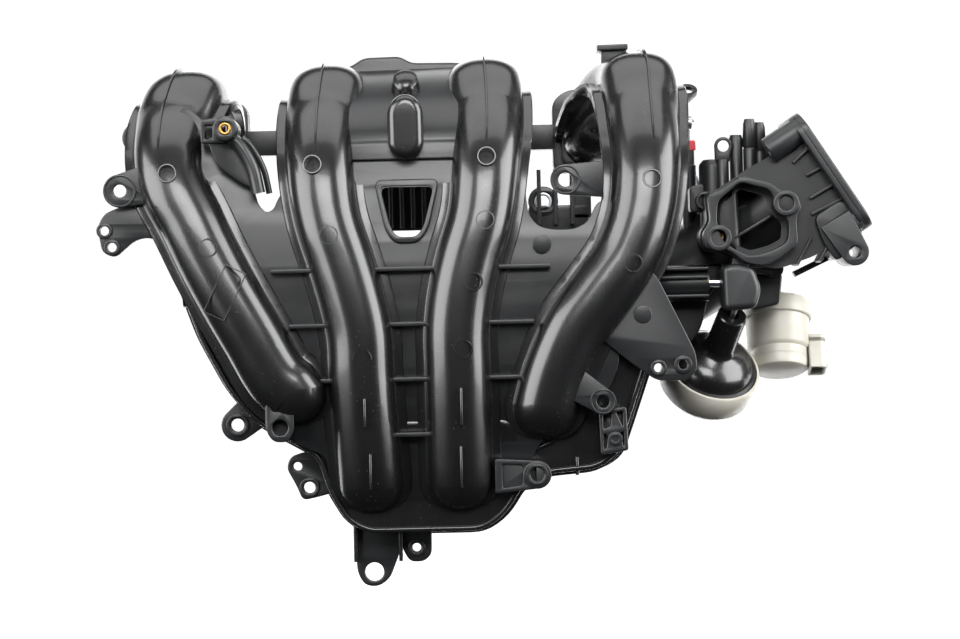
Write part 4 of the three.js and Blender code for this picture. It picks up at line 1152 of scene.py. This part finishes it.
class MANIFOLD_OT_throttle_duct(bpy.types.Operator):
    """Slanted duct with the throttle plate, the gas-return pad and hose nipples"""

    bl_idname = "manifold.throttle_duct"
    bl_label = "Throttle duct"

    def execute(self, context):
        bm = bmesh.new()
        pipe(bm, smooth_path(DUCT_PATH, 6), 33, 29, 56)
        face = throttle_place()
        half = 47
        flange = rounded([(half, half - 9), (half - 9, half), (9 - half, half), (-half, half - 9),
                          (-half, 9 - half), (9 - half, -half), (half - 9, -half), (half, 9 - half)], 5)
        plate(bm, flange, -2.5, 2.6, holes=[circle(0, 0, 29, 64)], edge=1, matrix=face)
        plate(bm, flange, 0, 6, holes=[circle(0, 0, 36.5, 64)], edge=1.2, matrix=face)
        plate(bm, circle(0, 0, 33, 64), 0, 6, holes=[circle(0, 0, 29, 64)], edge=0.4, matrix=face)
        for a in (-36, 36):
            for b in (-36, 36):
                plate(bm, circle(a, b, 9.5, 40), -26, 0, holes=[circle(a, b, 4.3)], matrix=face)
        cone = rounded([(236, -40), (256, -29), (276, -20), (287, -25), (301, -50), (306, -64),
                        (291, -88), (262, -98), (238, -92)], 7)
        plate(bm, cone, -126, -64, holes=[PAD_POCKET], edge=4, steps=5)
        foot = rounded([(288, -66), (306, -55), (313, -57), (322.5, -75), (318, -85), (303, -98),
                        (294, -84)], 5)
        plate(bm, foot, -133, -88, edge=1.6, steps=3)
        plate(bm, lug_outline(315.5, -91, (302, -68), 9.6), -138, -88, holes=[circle(315.5, -91, 4.2)])
        layers = [(softened(bm, 0), "duct")]
        layers.append((self.pad(), "duct"))
        layers.append((self.nipples(), "duct"))
        webs = [((275, -112, -28), (287, -112, -17)), ((284, -112, -37), (296, -112, -31)),
                ((286, -112, -53), (304, -112, -43)), ((287, -112, -64), (310, -112, -53))]
        webs += [((x, -112, z), (x + 10, -112, z + 18)) for x, z in ((292, -97), (276, -99))]
        layers.append((ribs(webs, 2.4, 34, "duct"), "duct"))
        rail = [((278, -84, -105), (306, -84, -92)), ((225, -100, -98), (262, -100, -104))]
        layers.append((ribs(rail, 4, 12, "duct"), "duct"))
        assemble("throttle_duct_moulding", layers, "manifold", ["throttle_duct"])
        return {"FINISHED"}

    def pad(self):
        """The raised rim of the gas-return pad with its two screw bosses and deep pocket."""
        bm = bmesh.new()
        rim = rounded([(214, -49), (222, -47), (238, -37), (246, -39), (258, -42), (264, -47),
                       (276, -51), (279, -60), (275, -67), (276, -85), (262, -95), (252, -99.5),
                       (239, -97), (228, -88), (212, -87), (210, -76), (216, -68)], 4)
        plate(bm, rim, -140, -100, holes=[PAD_POCKET], edge=0.9, steps=3)
        plate(bm, inset(rim, -1.5), -126, -84, holes=[inset(PAD_POCKET, -1)], edge=3, steps=4)
        for x, z in ((268, -56.4), (221, -79.4)):
            plate(bm, circle(x, z, 9, 44), -143, -96, holes=[circle(x, z, 5.3)], edge=0.9, steps=3)
        pipe(bm, smooth_path([(244, -108, -67), (244, -100, -66), (246, -92, -66)], 4), 11.5, 9.5)
        pocket_rib = bmesh.new()
        box(pocket_rib, -1.1, 1.1, -126, -100, -15, 15)
        bmesh.ops.transform(pocket_rib, matrix=Matrix.Translation((246, 0, -72)) @
                            Matrix.Rotation(math.radians(60), 4, "Y"), verts=pocket_rib.verts)
        inner = softened(pocket_rib, 0.5)
        bm.from_mesh(inner)
        bpy.data.meshes.remove(inner)
        return softened(bm, 0)

    def nipples(self):
        """Hose nipples, the valve body with its eyelet and a small pipe end, all along Z."""
        bm = bmesh.new()
        up = Vector((0, 0, 1))
        hose = [(2.6, 0), (4.7, 0), (4.7, 40), (4.3, 41), (5.1, 42.5), (4.4, 58), (3.4, 61.5),
                (2.6, 61.5)]
        turned(bm, hose, along_axis(Vector((248.5, -88, -56)), up), 32)
        turned(bm, hose, along_axis(Vector((256, -80, -58)), up), 32)
        turned(bm, [(2.4, 0), (4.8, 0), (4.8, 70), (4, 72.5), (2.4, 72.5)],
               along_axis(Vector((239, -86, -78)), up), 32)
        turned(bm, [(0, 0), (9, 0), (9, 50), (8.6, 52), (6, 55), (0, 56)],
               along_axis(Vector((221, -90, -78)), up), 40)
        turned(bm, [(0, 0), (5, 0), (5, 54), (4.4, 55), (0, 55)],
               along_axis(Vector((228, -95, -78)), up), 32)
        turned(bm, [(2.4, 0), (5.2, 0), (5.2, 70), (4.2, 71), (4.2, 82), (3.4, 83), (2.4, 83)],
               along_axis(Vector((206, -76, -96)), up), 32)
        plate(bm, lug_outline(229.6, -13.3, (228.5, -24), 6.4, 0.8), -92, -88,
              holes=[circle(229.6, -13.3, 4)])
        plate(bm, circle(214.5, -52.5, 6.6, 40), -112, -84, holes=[circle(214.5, -52.5, 4.4)], edge=0.6)
        plate(bm, rounded([(204, -60), (214, -60), (214, -40), (204, -42)], 3), -106, -86)
        return softened(bm, 0)


# ------------------------------------------------------------------ actuators
class MANIFOLD_OT_dome_actuator(bpy.types.Operator):
    """Domed vacuum can that turns the tuning shaft"""

    bl_idname = "manifold.dome_actuator"
    bl_label = "Dome actuator"

    def execute(self, context):
        place = along_axis(DOME_CENTRE, DOME_AXIS)
        dome = bmesh.new()
        turned(dome, [(29, 0.2), (32.2, 0.2), (32.6, 0.7), (32.6, 4.4), (32, 5.2), (29.6, 5.8), (28.8, 8),
                      (27, 12.4), (23.5, 16.2), (19, 19), (14, 21), (11.6, 23.5), (10.6, 27), (10.4, 56),
                      (9.6, 57), (4.5, 57), (4.5, 22), (17, 16.5), (24.5, 11), (28, 3)], place, 96)
        assemble("dome_housing_moulding", [(softened(dome, 0), "polished")], "manifold", ["dome_housing"])
        cup = bmesh.new()
        turned(cup, [(2, -34), (4, -34), (4.2, -27), (12, -26), (22, -24), (29.5, -20), (33.5, -15),
                     (34.6, -6), (34.9, -4), (34.9, 5.2), (34.3, 6), (32.9, 6), (32.8, -0.2), (31, -0.2),
                     (30.6, -4), (29, -14), (20, -21), (2, -24)], place, 96)
        assemble("dome_cup_moulding", [(softened(cup, 0), "cream")], "manifold", ["dome_cup"])
        rod_mesh = bmesh.new()
        turned(rod_mesh, [(0, 9.3), (2, 9.3), (2, 66), (2.9, 66.4), (3.5, 67.5), (3.5, 74), (3, 75),
                          (0, 75)], place, 32)
        assemble("dome_pull_rod", [(softened(rod_mesh, 0), "steel")], "dome_pull", ["dome_rod"])
        piston = bmesh.new()
        turned(piston, [(0, 5), (8, 5), (15, 5.6), (21, 7), (23, 8.4), (22.6, 9), (16, 8.6), (8, 9),
                        (0, 9)], place, 48)
        assemble("dome_membrane", [(softened(piston, 0), "rubber")], "dome_pull", ["dome_piston"])
        cover = bmesh.new()
        outline = rounded([(223, -99), (232, -97), (245, -100), (250, -115), (246, -129),
                           (224, -130)], 5, 6)
        plate(cover, outline, -140, -103.5, edge=4.2, steps=6)
        plate(cover, rounded([(231, -92), (243, -94), (243, -106), (230, -106)], 3), -128, -106, edge=1.5)
        assemble("crank_cover_moulding", [(softened(cover, 0), "duct")], "manifold", ["crank_cover"])
        spring(place, -19.5, 23.3, 13, 4, "dome_spring", "dome_slide", 0.36)
        return {"FINISHED"}


def spring(place, bottom, height, radius, turns, node, joint, keep):
    """A return spring standing in an actuator."""
    mesh = grown(coil_tree(), points_mesh([(0, 0, 0)]),
                 {"Turns": turns, "Radius": radius, "Height": height, "Finish": finish("steel")})
    mesh.transform(place @ Matrix.Translation((0, bottom, 0)) @ Matrix.Rotation(-math.pi / 2, 4, "X"))
    coil = assemble(f"{node}_coil", [(mesh, "steel")], "manifold", [node])
    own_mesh(coil)


class MANIFOLD_OT_canister_actuator(bpy.types.Operator):
    """Canister with a position sensor that pulls the bent rod of the swirl shaft"""

    bl_idname = "manifold.canister_actuator"
    bl_label = "Canister actuator"

    def execute(self, context):
        place = along_axis(CANISTER_CENTRE, CANISTER_AXIS)
        lid = bmesh.new()
        turned(lid, [(4, 8.3), (23.3, 8.3), (23.3, -2), (24.2, -2), (25, -1.2), (25, 8.4), (24.2, 10.6),
                     (21.5, 12.6), (14, 13.2), (4, 12.2)], place, 96)
        assemble("canister_lid_moulding", [(softened(lid, 0), "cream")], "manifold", ["canister_lid"])
        cup = bmesh.new()
        turned(cup, [(0, -40.5), (17.5, -40.5), (19.5, -39.4), (20.4, -37), (20.6, -26), (22, -24.6),
                     (22.9, -23), (23.1, 8), (20.5, 8), (20.5, -33), (18, -37), (0, -37)], place, 96)
        assemble("canister_cup_moulding", [(softened(cup, 0), "cream")], "manifold", ["canister_cup"])
        shroud = bmesh.new()
        frame_out = rounded([(20.4, -10), (30, -10), (33, -8), (33, 8), (30, 10), (20.4, 10)], 1.5)
        frame_in = rounded([(22, -8), (29, -8), (31, -6.6), (31, 6.6), (29, 8), (22, 8)], 1.2)
        plate(shroud, frame_out, -41, -18, holes=[frame_in], edge=0.5, matrix=place)
        plate(shroud, frame_out, -22, -16, edge=0.5, matrix=place)
        latch = rounded([(32, -3), (34.4, -3), (34.4, 3), (32, 3)], 0.6)
        plate(shroud, latch, -38, -26, edge=0.4, matrix=place)
        assemble("sensor_connector_moulding", [(softened(shroud, 0), "cream")], "manifold",
                 ["sensor_connector"])
        pins = bmesh.new()
        for z in (-3, 3):
            blade = [(24.6, z - 1.2), (25.8, z - 1.2), (25.8, z + 1.2), (24.6, z + 1.2)]
            plate(pins, blade, -37, -21, edge=0.25, matrix=place)
        assemble("sensor_pins", [(softened(pins, 0), "brass")], "manifold",
                 ["sensor_pin_1", "sensor_pin_2"])
        self.pull(place)
        self.holder()
        spring(place, -35.5, 31, 12, 5, "canister_spring", "canister_slide", 0.5)
        return {"FINISHED"}

    def pull(self, place):
        foot = CANISTER_CENTRE + CANISTER_AXIS * 3
        knee = CANISTER_CENTRE + CANISTER_AXIS * 26
        path = smooth_path([tuple(foot), tuple(knee), (256, -28, -92), (236, -24, -68), (220, -24, -44),
                            (212, -26, -22), (211, -24.6, 6)], 9)
        bm = bmesh.new()
        rod(bm, path, 1.8)
        turned(bm, [(2.2, -1.6), (4.6, -1.6), (5, -1.2), (5, 1.2), (4.6, 1.6), (2.2, 1.6)],
               along_axis(Vector((211, -24.6, 8)), Vector((1, 0, 0))), 36)
        assemble("bent_pull_rod", [(softened(bm, 0), "steel")], "canister_pull", ["bent_rod"])
        cup = bmesh.new()
        turned(cup, [(0, -3), (7, -3), (14, -2), (18.6, -0.6), (19, 0.6), (12, 1.8), (7, 2.7), (0, 2.7)],
               place, 48)
        assemble("canister_membrane", [(softened(cup, 0), "rubber")], "canister_pull",
                 ["canister_piston"])

    def holder(self):
        """The black bracket between the duct and the canister, and the little red cap."""
        bm = bmesh.new()
        outline = rounded([(250, -102), (255, -97), (263, -97), (265, -104), (270, -105), (267.5, -126),
                           (246, -130), (249, -116)], 3)
        plate(bm, outline, -86, -62, edge=1.2, steps=3)
        turned(bm, [(0, 0), (6.4, 0), (6.4, 14), (5.6, 15), (0, 15)],
               along_axis(Vector((263, -100, -101)), Vector((0, 1, 0))), 36)
        layers = [(softened(bm, 0), "textured")]
        assemble("canister_bracket_moulding", layers, "manifold", ["canister_bracket"])
        cap = bmesh.new()
        turned(cap, [(0, 7.4), (4.4, 7), (5.3, 6), (5.4, 0), (4.5, 0), (4.4, 5.6), (0, 6)],
               along_axis(Vector((206, -76, -15)), Vector((0, 0, 1))), 36)
        assemble("red_valve_cap", [(softened(cap, 0), "red")], "manifold", ["valve_cap"])


class MANIFOLD_OT_flap_gear(bpy.types.Operator):
    """Shafts, flap plates, bushes and seals that keep their CAD shape and get their finish"""

    bl_idname = "manifold.flap_gear"
    bl_label = "Flap gear and seals"

    def execute(self, context):
        numbered = [("swirl_plate", "aluminium"), ("tuning_plate", "aluminium"), ("port_seal", "rubber")]
        looks = {f"{stem}_{i + 1}": look for stem, look in numbered for i in range(4)}
        looks |= {"swirl_shaft": "steel", "tuning_shaft": "steel", "swirl_bush": "brass",
                  "tuning_bush": "brass", "tuning_foot_bush": "brass", "throttle_seal": "rubber"}
        for node, look in looks.items():
            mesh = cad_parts[node].data
            mesh.materials.clear()
            mesh.materials.append(finish(look))
        return {"FINISHED"}


# ------------------------------------------------------------------ stage
# Where the paper lies below the origin, in metres.
FLOOR_HEIGHT = -0.42


class MANIFOLD_OT_stage(bpy.types.Operator):
    """Camera, pale sweep and soft studio lights"""

    bl_idname = "manifold.stage"
    bl_label = "Stage"

    def execute(self, context):
        stage = context.scene.manifold_stage
        data = bpy.data.cameras.new("camera")
        data.lens = stage.lens
        data.sensor_width = 36
        data.clip_end = 20
        camera = bpy.data.objects.new("camera", data)
        context.scene.collection.objects.link(camera)
        level = Matrix.Rotation(math.radians(1.3), 4, "Y") @ Matrix.Rotation(math.radians(90), 4, "X")
        camera.matrix_world = Matrix.Translation((0.055, -stage.distance, -0.132)) @ level
        context.scene.camera = camera
        self.sweep(context)
        self.backdrop(context)
        self.lights(context)
        return {"FINISHED"}

    def sweep(self, context):
        """A white paper sweep behind: floor, round corner and wall, there for its bounce alone."""
        profile = [(0.2, FLOOR_HEIGHT), (0.75, FLOOR_HEIGHT)]
        for k in range(1, 12):
            angle = math.pi / 2 * k / 12
            profile.append((0.75 + 0.5 * math.sin(angle), 0.08 - 0.5 * math.cos(angle)))
        profile += [(1.25, 0.08), (1.25, 2.2)]
        bm = bmesh.new()
        rows = [[bm.verts.new((x, y, z)) for y, z in profile] for x in (-3.0, 3.0)]
        for i in range(len(profile) - 1):
            bm.faces.new((rows[0][i], rows[1][i], rows[1][i + 1], rows[0][i + 1]))
        sweep = self.paper(context, "paper_sweep", bm, 0.9)
        sweep.visible_camera = False

    def backdrop(self, context):
        """A pale floor and a pale round backdrop that close the view on every side."""
        bm = bmesh.new()
        bmesh.ops.create_uvsphere(bm, u_segments=48, v_segments=24, radius=9.0)
        bmesh.ops.reverse_faces(bm, faces=bm.faces[:])
        cyclorama = self.paper(context, "paper_backdrop", bm, 1.0)
        bm = bmesh.new()
        bmesh.ops.create_circle(bm, cap_ends=True, segments=64, radius=4.0)
        bmesh.ops.translate(bm, verts=bm.verts[:], vec=(0, 0, FLOOR_HEIGHT))
        floor = self.paper(context, "paper_floor", bm, 1.0)
        for sheet in (cyclorama, floor):
            sheet.visible_diffuse = False
            sheet.visible_glossy = False
            sheet.visible_shadow = False

    def paper(self, context, name, bm, glow):
        mesh = bpy.data.meshes.new(name)
        bm.to_mesh(mesh)
        bm.free()
        mesh.shade_smooth()
        paper = bpy.data.materials.new(name)
        paper.use_nodes = True
        shader = paper.node_tree.nodes["Principled BSDF"]
        shader.inputs["Base Color"].default_value = (0.9, 0.9, 0.9, 1)
        shader.inputs["Roughness"].default_value = 0.9
        shader.inputs["Specular IOR Level"].default_value = 0.0
        shader.inputs["Emission Color"].default_value = (1, 1, 1, 1)
        shader.inputs["Emission Strength"].default_value = glow
        mesh.materials.append(paper)
        sheet = bpy.data.objects.new(name, mesh)
        context.scene.collection.objects.link(sheet)
        return sheet

    def lights(self, context):
        stage = context.scene.manifold_stage
        boxes = [
            ("left_softbox", (-1.55, -1.2, 0.4), (1.8, 1.6), stage.side_power),
            ("right_softbox", (1.5, -0.7, 0.35), (1.3, 1.5), stage.side_power * 0.8),
            ("top_softbox", (0.05, -0.35, 1.35), (2.0, 0.9), stage.side_power * 0.22),
            ("front_softbox", (0.15, -2.6, 1.1), (1.4, 1.1), stage.front_power),
        ]
        aim = Vector((0.05, -0.08, -0.12))
        for name, place, size, watts in boxes:
            data = bpy.data.lights.new(name, "AREA")
            data.shape = "RECTANGLE"
            data.size, data.size_y = size
            data.energy = watts
            light = bpy.data.objects.new(name, data)
            context.scene.collection.objects.link(light)
            away = aim - Vector(place)
            turn = away.to_track_quat("-Z", "Y").to_matrix().to_4x4()
            light.matrix_world = Matrix.Translation(place) @ turn
        world = bpy.data.worlds.new("studio")
        world.use_nodes = True
        world.node_tree.nodes["Background"].inputs["Color"].default_value = (0.55, 0.56, 0.58, 1)
        world.node_tree.nodes["Background"].inputs["Strength"].default_value = 0.05
        context.scene.world = world
        context.scene.view_settings.view_transform = "Standard"


PIECES = [
    MANIFOLD_OT_front_shell, MANIFOLD_OT_web_ribs, MANIFOLD_OT_middle_shell, MANIFOLD_OT_rear_shell,
    MANIFOLD_OT_head_flange, MANIFOLD_OT_sleeves, MANIFOLD_OT_throttle_duct,
    MANIFOLD_OT_dome_actuator, MANIFOLD_OT_canister_actuator, MANIFOLD_OT_flap_gear,
]


class MANIFOLD_PT_panel(bpy.types.Panel):
    """The pieces of the manifold"""

    bl_idname = "MANIFOLD_PT_panel"
    bl_label = "Intake manifold"
    bl_space_type = "VIEW_3D"
    bl_region_type = "UI"
    bl_category = "Manifold"

    def draw(self, context):
        for settings in ("manifold_shape", "manifold_finish", "manifold_stage"):
            group = getattr(context.scene, settings)
            for name in group.bl_rna.properties.keys():
                if name not in ("rna_type", "name"):
                    self.layout.prop(group, name)
        for operator in [*PIECES, MANIFOLD_OT_stage]:
            self.layout.operator(operator.bl_idname)


SETTINGS = [ManifoldShape, ManifoldFinish, ManifoldStage]


def register():
    for item in [*SETTINGS, *PIECES, MANIFOLD_OT_stage, MANIFOLD_PT_panel]:
        bpy.utils.register_class(item)
    bpy.types.Scene.manifold_shape = PointerProperty(type=ManifoldShape)
    bpy.types.Scene.manifold_finish = PointerProperty(type=ManifoldFinish)
    bpy.types.Scene.manifold_stage = PointerProperty(type=ManifoldStage)


def unregister():
    for name in ("manifold_shape", "manifold_finish", "manifold_stage"):
        delattr(bpy.types.Scene, name)
    for item in reversed([*SETTINGS, *PIECES, MANIFOLD_OT_stage, MANIFOLD_PT_panel]):
        bpy.utils.unregister_class(item)


def main():
    register()
    for operator in [*PIECES, MANIFOLD_OT_stage]:
        family, name = operator.bl_idname.split(".")
        getattr(getattr(bpy.ops, family), name)()


if __name__ == "__main__":
    main()
